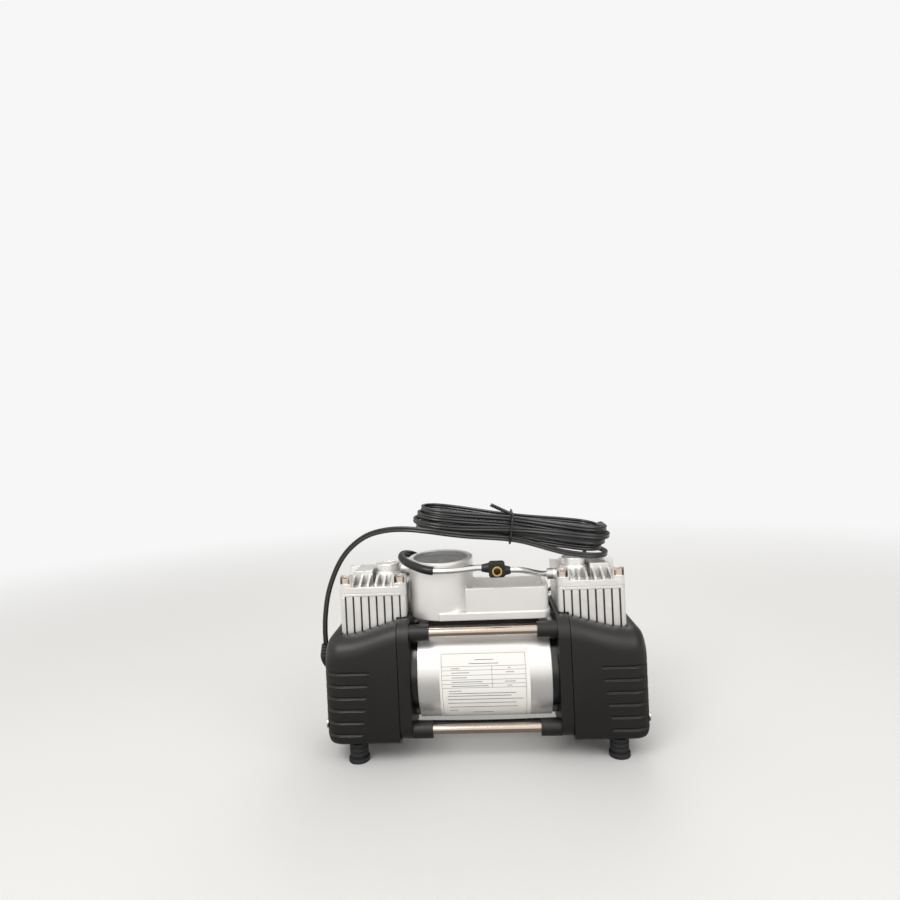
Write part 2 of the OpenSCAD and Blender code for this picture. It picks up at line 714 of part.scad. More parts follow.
// Lead that runs under the motor between the two end plates
module motor_lead() {
    color("#151516") tube(finer([[-plate_in, -14, 21.4], [-40, -14, 21], [-15, -14, 20.6], [15, -14, 20.6],
        [40, -14, 21], [plate_in, -14, 21.4]], 2), 2.6, 8);
}

// Rotor: shaft, armature, commutator, cranks and the rollers on the crank pins
module motor_shaft() { color("#9fa2a6") bar_x(-web_out, web_out, 0, axis_z, shaft_r); }
module armature_core() {
    color("#5d5e61") difference() {
        bar_x(-28, 28, 0, axis_z, 31.5);
        bar_x(-30, 30, 0, axis_z, shaft_r);
        for (k = [0:9]) translate([-30, 0, axis_z]) rotate([36 * k, 0, 0])
            translate([0, -1.5, 27]) cube([60, 3, 10]);
    }
}
module armature_winding() {
    color("#a5582c") {
        ring_x(28, 38, shaft_r, 26);
        ring_x(-38, -28, shaft_r, 26);
    }
}
module commutator() { color("#b87441") ring_x(-52, -40, shaft_r, 13); }
module cranks() {
    color("#7d8084") for (s = [-1, 1]) side(s) translate([0, 0, axis_z]) rotate([s < 0 ? 0 : 180, 0, 0]) {
        difference() {
            union() {
                bar_x(web_in, web_out, 0, 0, 13);
                box([web_in, -9, -18], [web_out, 9, 0]);
            }
            bar_x(web_in - 1, web_out + 1, 0, 0, shaft_r);
        }
        bar_x(web_out, stack_x + yoke_w / 2 + 1, 0, throw, pin_r);
    }
}
module pin_rollers() {
    color("#8f9296") for (s = [-1, 1]) side(s) translate([0, 0, s < 0 ? throw : -throw])
        ring_x(stack_x - yoke_w / 2 + 0.4, stack_x + yoke_w / 2 - 0.4, pin_r, roller_r);
}
module thrust_washer(s) {
    color("#b98d4a") side(s) translate([0, 0, s < 0 ? throw / 2 : -throw / 2])
        ring_x(web_out + 0.5, web_out + 1.5, 7.8, 11);
}
module thrust_washer_left() { thrust_washer(-1); }
module thrust_washer_right() { thrust_washer(1); }

// Pistons: crown, stem and the slotted yoke that the crank roller runs in
module piston(s) {
    rise = s < 0 ? 0 : -2 * throw;
    mid = axis_z + throw;
    color("#c7cacd") side(s) translate([stack_x, 0, rise]) {
        difference() {
            translate([0, 0, crown_top - piston_h]) cylinder(h = piston_h, r = piston_r);
            for (z = [4, 10]) translate([0, 0, crown_top - z]) difference() {
                cylinder(h = 1.6, r = piston_r + 1);
                translate([0, 0, -1]) cylinder(h = 4, r = piston_r - 1.2);
            }
        }
        box([-yoke_w / 2, -6, mid + yoke_z], [yoke_w / 2, 6, crown_top - piston_h]);
        difference() {
            box([-yoke_w / 2, -yoke_y, mid - yoke_z], [yoke_w / 2, yoke_y, mid + yoke_z]);
            box([-yoke_w, -throw - roller_r - 1, mid - roller_r - slot_gap],
                [yoke_w, throw + roller_r + 1, mid + roller_r + slot_gap]);
        }
    }
}
module piston_left() { piston(-1); }
module piston_right() { piston(1); }

// Cord gland: a strain relief on the left end that turns the cord upwards
module cord_gland() {
    color("#131314") translate([-cover_out, gland_y, gland_z]) difference() {
        union() {
            bar_x(-2, 0, 0, 0, 7.6);
            bar_x(0, wall, 0, 0, gland_r - 0.6);
            bar_x(0, 7, 0, 0, gland_r - 1.7);
            translate([-2, 0, gland_bend]) rotate([90, 180, 0]) rotate_extrude(angle = 90)
                translate([gland_bend, 0]) circle(gland_r);
            translate([-2 - gland_bend, 0, gland_bend])
                cylinder(h = gland_tip - gland_z - gland_bend, r1 = gland_r, r2 = 4);
        }
        for (z = [1.6, 4.6, 7.6]) translate([-2 - gland_bend, 0, gland_bend + z]) difference() {
            cylinder(h = 1.2, r = 9);
            translate([0, 0, -1]) cylinder(h = 4, r = 3.9);
        }
    }
}

// The hank: loops that spiral in and out, layer on layer, drawn in where the tie holds them
function layer_turn(t) = let (m = t % (2 * per_layer)) m < per_layer ? per_layer - m : m - per_layer;
function smooth(u) = let (v = max(0, min(1, u))) v * v * (3 - 2 * v);
function climbed(t) = [for (j = [1:3]) smooth((t - j * per_layer + run_share / 2) / run_share)] * [1, 1, 1];
function along_run(u) = hank_half * 2 * (u - 0.5);
function waist(x) = pinch * (1 + cos(180 * min(1, abs(x) / hank_half))) / 2;
function in_hank(along, across, pile) = hank_mid + along * run_way + across * fold_way + pile * pile_way;
function hank_place(t) =
    let (w = fold_r + loop_step * layer_turn(t),
         u = (t + run_share / 2) % 1,
         sunk = droop * smooth(min(t, 0.5 - t) / 0.12),
         pile = layer_step * (climbed(t) - 1.5) - sunk,
         fold = 0.5 - run_share)
    u < run_share ? let (x = along_run(u / run_share)) in_hank(x, waist(x) - w, pile)
    : u < 0.5 ? let (a = 180 * (u - run_share) / fold) in_hank(hank_half + w * sin(a), -w * cos(a), pile)
    : u < 0.5 + run_share ? let (x = -along_run((u - 0.5) / run_share)) in_hank(x, w - waist(x), pile)
    : let (a = 180 * (u - 0.5 - run_share) / fold) in_hank(-hank_half - w * sin(a), w * cos(a), pile);
hank_count = hank_loops * hank_rings;
hank_points = [for (i = [0:hank_count]) hank_place(i / hank_rings)];
hank_start = hank_points[0];
hank_end = hank_points[hank_count];
start_stub = hank_start - cord_d * run_way;
end_stub = hank_end + cord_d * fold_way;
hank_path = concat([start_stub], hank_points, [end_stub]);

// Least gap between strands, from each point to the segments of the other loops
function to_segment(p, a, b) = let (d = b - a, t = max(0, min(1, (p - a) * d / (d * d)))) norm(p - a - d * t);
gap_list = [for (i = [0:hank_count], j = [0:hank_count - 1])
    if (abs(i - j - 0.5) > hank_rings / 3) to_segment(hank_points[i], hank_points[j], hank_points[j + 1])];
hank_length = [for (i = [1:hank_count]) norm(hank_points[i] - hank_points[i - 1])]
    * [for (i = [1:hank_count]) 1];
echo(hank_least_gap = min(gap_list) - cord_d, hank_length = hank_length);

lead_path = finer(concat(lead_route, [start_stub]), 2);
tail_path = finer(concat([end_stub], tail_route), 2);
module cord_lead() { color("#0f0f10") tube(lead_path, cord_r, cord_sides); }
module cord_hank() { color("#0f0f10") tube(hank_path, cord_r, hank_sides); }
module cord_tail() { color("#0f0f10") tube(tail_path, cord_r, cord_sides); }

// Tie round the waist of the hank
module cord_tie() {
    wide = 2 * (fold_r + per_layer * loop_step - pinch) + cord_d + 3;
    tall = 3 * layer_step + cord_d + 2;
    color("#0b0b0c") translate(hank_mid) rotate([0, hank_slope, 0]) rotate([hank_tilt, 0, 0])
        translate([-1.5, 0, 0]) rotate([90, 0, 90]) linear_extrude(3) difference() {
            round_rect(wide + 3, tall + 3, 5);
            round_rect(wide, tall, 4);
        }
}

// Plug for a 12 V socket, lying on the motor behind the tray, its tip to the left
module plug_bar(from, to, r) { bar_x(plug_x - to, plug_x - from, plug_y, plug_z, r); }
module plug_body() {
    color("#17171a") difference() {
        union() {
            plug_bar(0, 14, 4.4);
            plug_bar(14, 26, 10.6);
            plug_bar(26, 47, 9.6);
            plug_bar(47, 54, 7.6);
            for (y = [-1, 1]) box([plug_x - 42, plug_y + y * 9.8 - 1, plug_z - 2.5],
                [plug_x - 30, plug_y + y * 9.8 + 1, plug_z + 2.5]);
        }
        plug_bar(42, 62, 4.3);
    }
}
module plug_tip() {
    color("#c9ccd0") {
        plug_bar(45.5, 56, 4.2);
        translate([plug_x - 56, plug_y, plug_z]) rotate([0, -90, 0]) cylinder(h = 2, r1 = 4.2, r2 = 2.6);
    }
}

end_plate_left();
end_plate_right();
cover_left();
cover_right();
cover_screws();
crankcase_left();
crankcase_right();
cylinder_left();
cylinder_right();
valve_plates();
head_left();
head_right();
head_screws();
motor_can();
motor_magnets();
end_ring_left();
end_ring_right();
shaft_bearings();
brush_gear();
brushes();
tie_rods();
rod_ferrules();
feet();
foot_screws();
gauge_pod();
pod_saddle();
pod_screws();
gauge_case();
gauge_dial();
gauge_bezel();
gauge_lens();
gauge_needle();
gauge_feed();
tee_block();
outlet_port();
tube_left();
tube_right();
tube_nuts();
tube_sleeve();
rating_label();
switch_case();
switch_rocker();
motor_lead();
motor_shaft();
armature_core();
armature_winding();
commutator();
cranks();
pin_rollers();
thrust_washer_left();
thrust_washer_right();
piston_left();
piston_right();
cord_gland();
cord_lead();
cord_hank();
cord_tail();
cord_tie();
plug_body();
plug_tip();
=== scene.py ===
# %% [markdown]
# # A twin-cylinder air compressor, dressed in Blender
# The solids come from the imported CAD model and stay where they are. This lesson adds what the solids
# leave out: soft edges, cast and moulded surfaces, smooth bends, the label's rules and the tied power cord.
# Everything is in metres. X runs along the motor, -Y is the front and Z is up.

# %% Load the frame
import json
import math

import bmesh
import bpy
from mathutils import Matrix, Vector


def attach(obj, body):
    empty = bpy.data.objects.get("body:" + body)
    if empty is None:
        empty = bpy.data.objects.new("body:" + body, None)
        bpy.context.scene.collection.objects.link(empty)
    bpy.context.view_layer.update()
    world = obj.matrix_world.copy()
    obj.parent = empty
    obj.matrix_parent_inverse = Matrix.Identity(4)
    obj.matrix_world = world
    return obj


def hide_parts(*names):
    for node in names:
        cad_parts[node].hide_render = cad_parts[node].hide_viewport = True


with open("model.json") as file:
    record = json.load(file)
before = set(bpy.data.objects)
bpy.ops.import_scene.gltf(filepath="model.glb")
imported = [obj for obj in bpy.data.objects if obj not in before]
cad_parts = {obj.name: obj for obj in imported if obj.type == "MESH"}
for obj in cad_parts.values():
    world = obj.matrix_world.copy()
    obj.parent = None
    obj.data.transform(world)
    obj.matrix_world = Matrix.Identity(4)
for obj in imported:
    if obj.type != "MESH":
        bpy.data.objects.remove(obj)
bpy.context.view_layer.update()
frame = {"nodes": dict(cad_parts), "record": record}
MM = 0.001
scene = bpy.context.scene
print("CAD nodes:", len(frame["nodes"]))

# %% [markdown]
# The camera stands where the photograph was taken, a little above the object and turned slightly.
# Its place and its three small turns were found by matching points of the object with the picture.
# A lens is easiest to state in pixels: 592 pixels of focal length in a picture 900 pixels wide.

# %% Camera
PICTURE_PIXELS = 900
FOCAL_PIXELS = 592
CAMERA_PLACE = Vector((5.5, -541.8, 270.3)) * MM
CAMERA_YAW = math.radians(-2.98)
CAMERA_PITCH = math.radians(-0.5)
CAMERA_ROLL = math.radians(-2.62)


def camera_turn():
    """The camera's rotation matrix, from its yaw, pitch and roll."""
    ahead = Vector((math.sin(CAMERA_YAW) * math.cos(CAMERA_PITCH),
                    math.cos(CAMERA_YAW) * math.cos(CAMERA_PITCH), math.sin(CAMERA_PITCH)))
    right = Vector((math.cos(CAMERA_YAW), -math.sin(CAMERA_YAW), 0))
    up = right.cross(ahead)
    across = right * math.cos(CAMERA_ROLL) + up * math.sin(CAMERA_ROLL)
    above = up * math.cos(CAMERA_ROLL) - right * math.sin(CAMERA_ROLL)
    return Matrix((across, above, -ahead)).transposed()


camera_data = bpy.data.cameras.new("camera")
camera_data.sensor_width = 36
camera_data.lens = 36 * FOCAL_PIXELS / PICTURE_PIXELS
camera = bpy.data.objects.new("camera", camera_data)
scene.collection.objects.link(camera)
camera.matrix_world = Matrix.Translation(CAMERA_PLACE) @ camera_turn().to_4x4()
scene.camera = camera
print("lens", round(camera_data.lens, 2), "mm")

# %% [markdown]
# The power cord is one unbroken piece: it leaves the strain relief on the left end, climbs beside the left
# stack, runs along the front of the tied hank to its waist, and after the last loop leaves the right fold and
# drops behind the right head to the plug. The route's points are the same as in the CAD source, so the cord
# lies where the solids are. A smooth line through the points is a Catmull-Rom curve, and the loops of the
# hank follow a formula, in the hank's own three directions. The first half loop droops onto the right head.

# %% Cord route
CORD_RADIUS = 2.6 * MM
HANK_MIDDLE = Vector((30, 17, 191.3))
HANK_SLOPE = math.radians(8.5)
HANK_TILT = math.radians(2)
RUN_WAY = Vector((math.cos(HANK_SLOPE), 0, -math.sin(HANK_SLOPE)))
FOLD_WAY = Vector((math.sin(HANK_SLOPE) * math.sin(HANK_TILT), math.cos(HANK_TILT),
                   math.cos(HANK_SLOPE) * math.sin(HANK_TILT)))
PILE_WAY = RUN_WAY.cross(FOLD_WAY)
HANK_HALF = 64
HANK_LOOPS = 7.25
DROOP = 5
DROOP_SHARE = 0.12
LOOPS_PER_LAYER = 2
FOLD_RADIUS = 15.6
LOOP_STEP = 6.3
LAYER_STEP = 5.9
WAIST_PINCH = 11
RUN_SHARE = 0.27
POINTS_PER_LOOP = 96
LEAD_ROUTE = [
    (-152, 20, 84), (-152, 20, 90), (-152, 20, 98), (-151, 20, 112), (-147.5, 19.3, 131), (-141, 17.5, 149),
    (-131.5, 14, 166), (-119, 9, 179.5), (-103, 2, 189.8), (-84, -7, 195.2), (-64, -14, 196.4),
    (-44, -17.8, 194.4), (-26, -17.2, 191.2), (-10, -12.2, 188.1), (2, -6.6, 186), (13, -2, 184.2)]
TAIL_ROUTE = [
    (117.3, 34.9, 187.4), (115.4, 46.8, 183.6), (112.2, 55.1, 175.2), (108.1, 58.9, 164.3),
    (102.7, 58.4, 153), (95.6, 54.5, 143.2), (86.8, 48.7, 135.8), (76.8, 42.1, 130.4), (66.1, 35.6, 126.2),
    (59.8, 32, 123.9), (54.1, 29.4, 122), (48.8, 27.7, 120.9), (43.4, 27, 120.4), (38.2, 27, 120.4)]
ROUTE_STEPS = 6


def smooth_line(points, steps):
    """Points of a Catmull-Rom curve through the given ones."""
    points = [Vector(p) for p in points]
    line = []
    for i in range(len(points) - 1):
        a, b, c = points[max(0, i - 1)], points[i], points[i + 1]
        d = points[min(len(points) - 1, i + 2)]
        for k in range(steps):
            t = k / steps
            line.append(b + (c - a) * t / 2 + (a - b * 2.5 + c * 2 - d / 2) * t * t
                        + ((b - c) * 1.5 + (d - a) / 2) * t ** 3)
    return line + [points[-1]]


def eased(u):
    """A soft step from 0 to 1."""
    u = max(0.0, min(1.0, u))
    return u * u * (3 - 2 * u)


def hank_point(turn):
    """A point of the hank: loops spiral in and out, layer on layer, drawn in at the waist."""
    place = turn % (2 * LOOPS_PER_LAYER)
    half = FOLD_RADIUS + LOOP_STEP * abs(LOOPS_PER_LAYER - place)
    layer = sum(eased((turn - j * LOOPS_PER_LAYER + RUN_SHARE / 2) / RUN_SHARE) for j in (1, 2, 3))
    u = (turn + RUN_SHARE / 2) % 1
    sign = 1 if u < 0.5 else -1
    v = u % 0.5
    if v < RUN_SHARE:
        along = HANK_HALF * 2 * (v / RUN_SHARE - 0.5)
        across = half - WAIST_PINCH * (1 + math.cos(math.pi * min(1, abs(along) / HANK_HALF))) / 2
    else:
        angle = math.pi * (v - RUN_SHARE) / (0.5 - RUN_SHARE)
        along = HANK_HALF + half * math.sin(angle)
        across = half * math.cos(angle)
    sunk = DROOP * eased(min(turn, 0.5 - turn) / DROOP_SHARE)
    return (HANK_MIDDLE + sign * along * RUN_WAY - sign * across * FOLD_WAY
            + (LAYER_STEP * (layer - 1.5) - sunk) * PILE_WAY)


def line_length(points):
    """The length along a row of points."""
    return sum((b - a).length for a, b in zip(points, points[1:]))


hank_line = [hank_point(i / POINTS_PER_LOOP) for i in range(int(HANK_LOOPS * POINTS_PER_LOOP) + 1)]
stub = 2 * CORD_RADIUS / MM
lead_line = smooth_line(LEAD_ROUTE + [hank_line[0] - RUN_WAY * stub], ROUTE_STEPS)
tail_line = smooth_line([hank_line[-1] + FOLD_WAY * stub] + TAIL_ROUTE, ROUTE_STEPS)
cord_line = [p * MM for p in lead_line + hank_line + tail_line]
print("cord", round(line_length(cord_line), 3), "m")

# %% [markdown]
# Cord of this kind has two cores side by side, so its section is a figure of eight. A section that
# isn't round needs a steady upward direction at each point. In the hank that is the way the layers pile
# up. Along the lead and the tail it is carried from point to point, turned no more than the line itself
# turns.

# %% Cord piece
CORE_RADIUS = 1.36 * MM
CORE_AWAY = CORD_RADIUS - CORE_RADIUS
CORE_STEPS = 9


def carried(line, up):
    """The upward directions along a line, starting from up."""
    ups = []
    for i in range(len(line)):
        ahead = (line[min(i + 1, len(line) - 1)] - line[max(i - 1, 0)]).normalized()
        up = (up - ahead * up.dot(ahead)).normalized()
        ups.append((ahead, up))
    return ups


def cord_section():
    """Points round the figure of eight: across, up."""
    meet = math.acos(CORE_AWAY / CORE_RADIUS)
    half = []
    for k in range(CORE_STEPS):
        angle = (math.pi - meet) * (1 - 2 * k / (CORE_STEPS - 1))
        half.append((CORE_RADIUS * math.sin(angle), CORE_AWAY + CORE_RADIUS * math.cos(angle)))
    half = half[:-1]
    return half + [(-a, -u) for a, u in half]


def cord_mesh():
    """The section drawn along the whole cord, closed at both ends."""
    lead_ways = carried(lead_line[::-1], PILE_WAY)[::-1]
    lead_ways = [(-ahead, up) for ahead, up in lead_ways]
    hank_ways = [carried(hank_line[max(0, i - 1):i + 2], PILE_WAY)[min(i, 1)] for i in range(len(hank_line))]
    ways = lead_ways + hank_ways + carried(tail_line, PILE_WAY)
    section = cord_section()
    count = len(section)
    corners = []
    for place, (ahead, up) in zip(cord_line, ways):
        aside = ahead.cross(up)
        corners += [place + aside * a + up * u for a, u in section]
    faces = []
    for ring in range(len(cord_line) - 1):
        for k in range(count):
            a, b = ring * count + k, ring * count + (k + 1) % count
            faces.append((a, b, b + count, a + count))
    start, end = len(corners), len(corners) + 1
    corners += [cord_line[0], cord_line[-1]]
    last = (len(cord_line) - 1) * count
    for k in range(count):
        faces.append((start, (k + 1) % count, k))
        faces.append((end, last + k, last + (k + 1) % count))
    mesh = bpy.data.meshes.new("power_cord")
    mesh.from_pydata(corners, [], faces)
    mesh.shade_smooth()
    return mesh


power_cord = bpy.data.objects.new("power_cord", cord_mesh())
scene.collection.objects.link(power_cord)
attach(power_cord, "frame")
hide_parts("cord_lead", "cord_hank", "cord_tail")
print("cord points:", len(cord_line))

# %% [markdown]
# Every surface here is slightly uneven: moulded plastic has a fine grain, castings have a coarse skin, paint
# has faint cloudy patches. One node group gives all of that. It reads Object coordinates, so the pattern
# stays on the piece, and it puts out a height for a Bump node and a slow tone for colour and roughness.

# %% Shader group: surface grain
def new_group(name, inputs, outputs):
    """An empty shader group with float inputs, and its input and output nodes."""
    tree = bpy.data.node_groups.new(name, "ShaderNodeTree")
    for label, value in inputs:
        socket = tree.interface.new_socket(label, in_out="INPUT", socket_type="NodeSocketFloat")
        socket.default_value = value
    for label in outputs:
        tree.interface.new_socket(label, in_out="OUTPUT", socket_type="NodeSocketFloat")
    return tree, tree.nodes.new("NodeGroupInput"), tree.nodes.new("NodeGroupOutput")


def ramp(tree, value, low, high, from_level, to_level, kind="LINEAR"):
    """A socket that goes from one level to another as a value moves from low to high."""
    node = tree.nodes.new("ShaderNodeMapRange")
    node.interpolation_type = kind
    ends = {"From Min": low, "From Max": high, "To Min": from_level, "To Max": to_level}
    for label, number in ends.items():
        node.inputs[label].default_value = number
    tree.links.new(value, node.inputs["Value"])
    return node.outputs["Result"]


def noise_node(tree, coordinates, detail, scale_from):
    """A noise texture whose scale comes from a socket."""
    node = tree.nodes.new("ShaderNodeTexNoise")
    node.inputs["Detail"].default_value = detail
    tree.links.new(coordinates, node.inputs["Vector"])
    tree.links.new(scale_from, node.inputs["Scale"])
    return node


def surface_grain_group():
    """The group with a fine height and a slow tone."""
    tree, given, result = new_group(
        "surface_grain", [("Grain Scale", 900.0), ("Patch Scale", 25.0)], ["Height", "Tone"])
    place = tree.nodes.new("ShaderNodeTexCoord").outputs["Object"]
    grain = noise_node(tree, place, 3.0, given.outputs["Grain Scale"])
    patches = noise_node(tree, place, 2.0, given.outputs["Patch Scale"])
    tree.links.new(grain.outputs["Fac"], result.inputs["Height"])
    tree.links.new(patches.outputs["Fac"], result.inputs["Tone"])
    return tree


surface_grain = surface_grain_group()
print("group:", surface_grain.name)

# %% [markdown]
# Things that stand about gather dust on their upper faces. The second group gives a mask for that: it is
# strong where a face looks up, and broken up by noise.

# %% Shader group: settled dust
DUST_SLOPE = 0.35


def settled_dust_group():
    """The group with the mask for dust."""
    tree, given, result = new_group("settled_dust", [("Amount", 0.3), ("Speck Scale", 160.0)], ["Mask"])
    split = tree.nodes.new("ShaderNodeSeparateXYZ")
    tree.links.new(tree.nodes.new("ShaderNodeNewGeometry").outputs["Normal"], split.inputs[0])
    part = ramp(tree, split.outputs["Z"], DUST_SLOPE, 1, 0, 1)
    place = tree.nodes.new("ShaderNodeTexCoord").outputs["Object"]
    specks = noise_node(tree, place, 4.0, given.outputs["Speck Scale"])
    for other in (specks.outputs["Fac"], given.outputs["Amount"]):
        times = tree.nodes.new("ShaderNodeMath")
        times.operation = "MULTIPLY"
        tree.links.new(part, times.inputs[0])
        tree.links.new(other, times.inputs[1])
        part = times.outputs[0]
    tree.links.new(part, result.inputs["Mask"])
    return tree


settled_dust = settled_dust_group()
print("group:", settled_dust.name)

# %% [markdown]
# A finish is a Principled BSDF fed by those groups. CAD solids have knife-sharp edges, while real ones are
# a little round and catch a thin line of light. The Bevel node rounds the shading there without
# touching the mesh. In narrow recesses shade is painted into the base colour: the Ambient Occlusion node
# finds them and darkens the colour there. Values that are the same all over are set on the shader's own
# sockets.

# %% A finish from its numbers
DUST_COLOUR = (0.42, 0.41, 0.39, 1)
# Painted shade in recesses: the dark colour mixed into the base colour, how far the Ambient Occlusion node
# looks, and the occlusion levels between full and no darkening.
RECESS_SHADE_COLOUR = (0.035, 0.033, 0.031, 1)
RECESS_SHADE_REACH = 0.008
RECESS_SHADE_DEEP, RECESS_SHADE_OPEN = 0.15, 0.75
RECESS_SHADE_SAMPLES = 6
EDGE_SAMPLES = 4
SMOOTHEST = 0.02
# A Mix node repeats its socket names for each kind of data, so its colour sockets go by number.
MIX_FIRST, MIX_SECOND, MIX_RESULT = 6, 7, 2


def shade(colour, factor):
    """A colour made lighter or darker, with full alpha."""
    return (*(min(1.0, c * factor) for c in colour), 1)


def mix_colour(tree, factor, first, second):
    """A colour mix. first and second are colours or sockets."""
    mix = tree.nodes.new("ShaderNodeMix")
    mix.data_type = "RGBA"
    tree.links.new(factor, mix.inputs["Factor"])
    for socket, value in ((mix.inputs[MIX_FIRST], first), (mix.inputs[MIX_SECOND], second)):
        if isinstance(value, tuple):
            socket.default_value = value
        else:
            tree.links.new(value, socket)
    return mix.outputs[MIX_RESULT]


def finish(name, colour, roughness, metallic=0.0, vary=0.08, rough_vary=0.06, grain=900.0, patch=25.0,
           bump=0.00002, edge=0.0005, dust=0.0, recess_shade=0.0, specular=0.5):
    """A material. colour is linear, bump and edge are in metres, vary and rough_vary are shares."""
    material = bpy.data.materials.new(name)
    material.use_nodes = True
    tree = material.node_tree
    shader = tree.nodes["Principled BSDF"]
    shader.inputs["Metallic"].default_value = metallic
    shader.inputs["Specular IOR Level"].default_value = specular
    skin = tree.nodes.new("ShaderNodeGroup")
    skin.node_tree = surface_grain
    skin.inputs["Grain Scale"].default_value = grain
    skin.inputs["Patch Scale"].default_value = patch
    tone = mix_colour(tree, skin.outputs["Tone"], shade(colour, 1 - vary), shade(colour, 1 + vary))
    rough = ramp(tree, skin.outputs["Tone"], 0, 1, max(SMOOTHEST, roughness - rough_vary),
                 min(1.0, roughness + rough_vary))
    # Painted shade: where the Ambient Occlusion node finds a recess, the base colour is mixed towards a dark
    # colour.
    if recess_shade:
        recess = tree.nodes.new("ShaderNodeAmbientOcclusion")
        recess.samples = RECESS_SHADE_SAMPLES
        recess.inputs["Distance"].default_value = RECESS_SHADE_REACH
        shade_share = ramp(tree, recess.outputs["AO"], RECESS_SHADE_DEEP, RECESS_SHADE_OPEN, recess_shade, 0)
        tone = mix_colour(tree, shade_share, tone, RECESS_SHADE_COLOUR)
    if dust:
        settled = tree.nodes.new("ShaderNodeGroup")
        settled.node_tree = settled_dust
        settled.inputs["Amount"].default_value = dust
        tone = mix_colour(tree, settled.outputs["Mask"], tone, DUST_COLOUR)
    tree.links.new(tone, shader.inputs["Base Color"])
    tree.links.new(rough, shader.inputs["Roughness"])
    relief = tree.nodes.new("ShaderNodeBump")
    relief.inputs["Distance"].default_value = bump
    relief.inputs["Strength"].default_value = 1.0
    tree.links.new(skin.outputs["Height"], relief.inputs["Height"])
    if edge:
        rounding = tree.nodes.new("ShaderNodeBevel")
        rounding.samples = EDGE_SAMPLES
        rounding.inputs["Radius"].default_value = edge
        tree.links.new(rounding.outputs["Normal"], relief.inputs["Normal"])
    tree.links.new(relief.outputs["Normal"], shader.inputs["Normal"])
    return material


FINISHES = {
    "black_plastic": finish("black_plastic", (0.012, 0.0112, 0.0105), 0.4, grain=1400, bump=0.00004,
                            edge=0.0008, dust=0.015, specular=0.4),
    "gloss_black": finish("gloss_black", (0.008, 0.008, 0.0085), 0.2, bump=0.00001, specular=0.8),
    "steel": finish("steel", (0.6, 0.59, 0.57), 0.32, metallic=1.0, edge=0.0003),
    # The cast aluminium gets painted shade darkening its slots and recesses.
    "cast_aluminium": finish("cast_aluminium", (0.88, 0.87, 0.85), 0.4, metallic=0.85, vary=0.12, grain=700,
                             patch=60, bump=0.00012, edge=0.0009, recess_shade=0.52),
    "can_paint": finish("can_paint", (0.83, 0.82, 0.8), 0.38, metallic=0.75, vary=0.04, bump=0.00001,
                        edge=0.0009),
    "magnet": finish("magnet", (0.07, 0.07, 0.075), 0.6),
    "carbon": finish("carbon", (0.03, 0.03, 0.03), 0.8),
    "polished_rod": finish("polished_rod", (0.57, 0.48, 0.41), 0.2, metallic=1.0, vary=0.05, grain=2500,
                           bump=0.000006, edge=0.0003),
    "foot_rubber": finish("foot_rubber", (0.016, 0.016, 0.017), 0.62, bump=0.00004, dust=0.08),
    "silver_plastic": finish("silver_plastic", (0.87, 0.86, 0.84), 0.36, metallic=0.7, vary=0.04, grain=1600,
                             bump=0.00002, edge=0.0011),
    "gauge_black": finish("gauge_black", (0.03, 0.031, 0.033), 0.5),
    "needle_white": finish("needle_white", (0.78, 0.78, 0.75), 0.45, edge=0.0002),
    # The brass gets painted shade in its recesses, which darkens the bore of each port.
    "brass": finish("brass", (0.66, 0.45, 0.17), 0.28, metallic=1.0, vary=0.1, edge=0.0004, recess_shade=0.95),
    "chrome_tube": finish("chrome_tube", (0.72, 0.72, 0.72), 0.14, metallic=1.0, vary=0.05, bump=0.000008,
                          edge=0),
    "hose_black": finish("hose_black", (0.008, 0.008, 0.0085), 0.26, bump=0.00002, edge=0, specular=0.4),
    "label_white": finish("label_white", (0.86, 0.85, 0.81), 0.36, vary=0.03, bump=0.000008, edge=0),
    "rocker_red": finish("rocker_red", (0.32, 0.02, 0.015), 0.28),
    "copper": finish("copper", (0.5, 0.22, 0.1), 0.36, metallic=0.9),
    "cord_black": finish("cord_black", (0.008, 0.008, 0.0085), 0.26, bump=0.00001, edge=0, specular=0.7),
}
print("finishes:", len(FINISHES))

# %% [markdown]
# The gauge's lens is smoked: the dial shows through it from above, and at a low angle it mirrors the sky.
# Glass keeps a plain Transmission Weight, and the tint is its base colour.

# %% Smoked lens
def smoked_lens():
    """The material of the lens."""
    material = bpy.data.materials.new("gauge_glass")
    material.use_nodes = True
    shader = material.node_tree.nodes["Principled BSDF"]
    shader.inputs["Base Color"].default_value = (0.56, 0.57, 0.57, 1)
    shader.inputs["Roughness"].default_value = 0.1
    shader.inputs["Transmission Weight"].default_value = 0.86
    shader.inputs["IOR"].default_value = 1.49
    return material


FINISHES["gauge_glass"] = smoked_lens()

# %% [markdown]
# Each CAD node takes the finish of its slot in the record. The screws of the heads are steel too, in a
# warmer tone of their own.

# %% Finishes on the CAD nodes
for row in frame["record"]["subparts"]:
    mesh = frame["nodes"][row["node"]].data
    mesh.materials.clear()
    mesh.materials.append(FINISHES[row["material_slot"]])
warm_steel = finish("warm_steel", (0.8, 0.67, 0.58), 0.28, metallic=1.0, edge=0.0003)
frame["nodes"]["head_screws"].data.materials[0] = warm_steel
power_cord.data.materials.append(FINISHES["cord_black"])

# %% [markdown]
# Many small things here repeat or follow a path: bent tubes, rings, dial marks, ruled lines. Geometry Nodes
# make those. A small helper adds one node, and sets or links its inputs by name, so that a tree
# reads like a recipe. Another bakes a tree's result into a plain mesh, because only meshes are exported.

# %% Geometry Nodes helpers
def new_tree(name, inputs):
    """A geometry tree with named inputs, given as (name, socket type, default)."""
    tree = bpy.data.node_groups.new(name, "GeometryNodeTree")
    tree.interface.new_socket("Geometry", in_out="INPUT", socket_type="NodeSocketGeometry")
    for label, kind, value in inputs:
        socket = tree.interface.new_socket(label, in_out="INPUT", socket_type="NodeSocket" + kind)
        if value is not None:
            socket.default_value = value
    tree.interface.new_socket("Geometry", in_out="OUTPUT", socket_type="NodeSocketGeometry")
    return tree, tree.nodes.new("NodeGroupInput").outputs


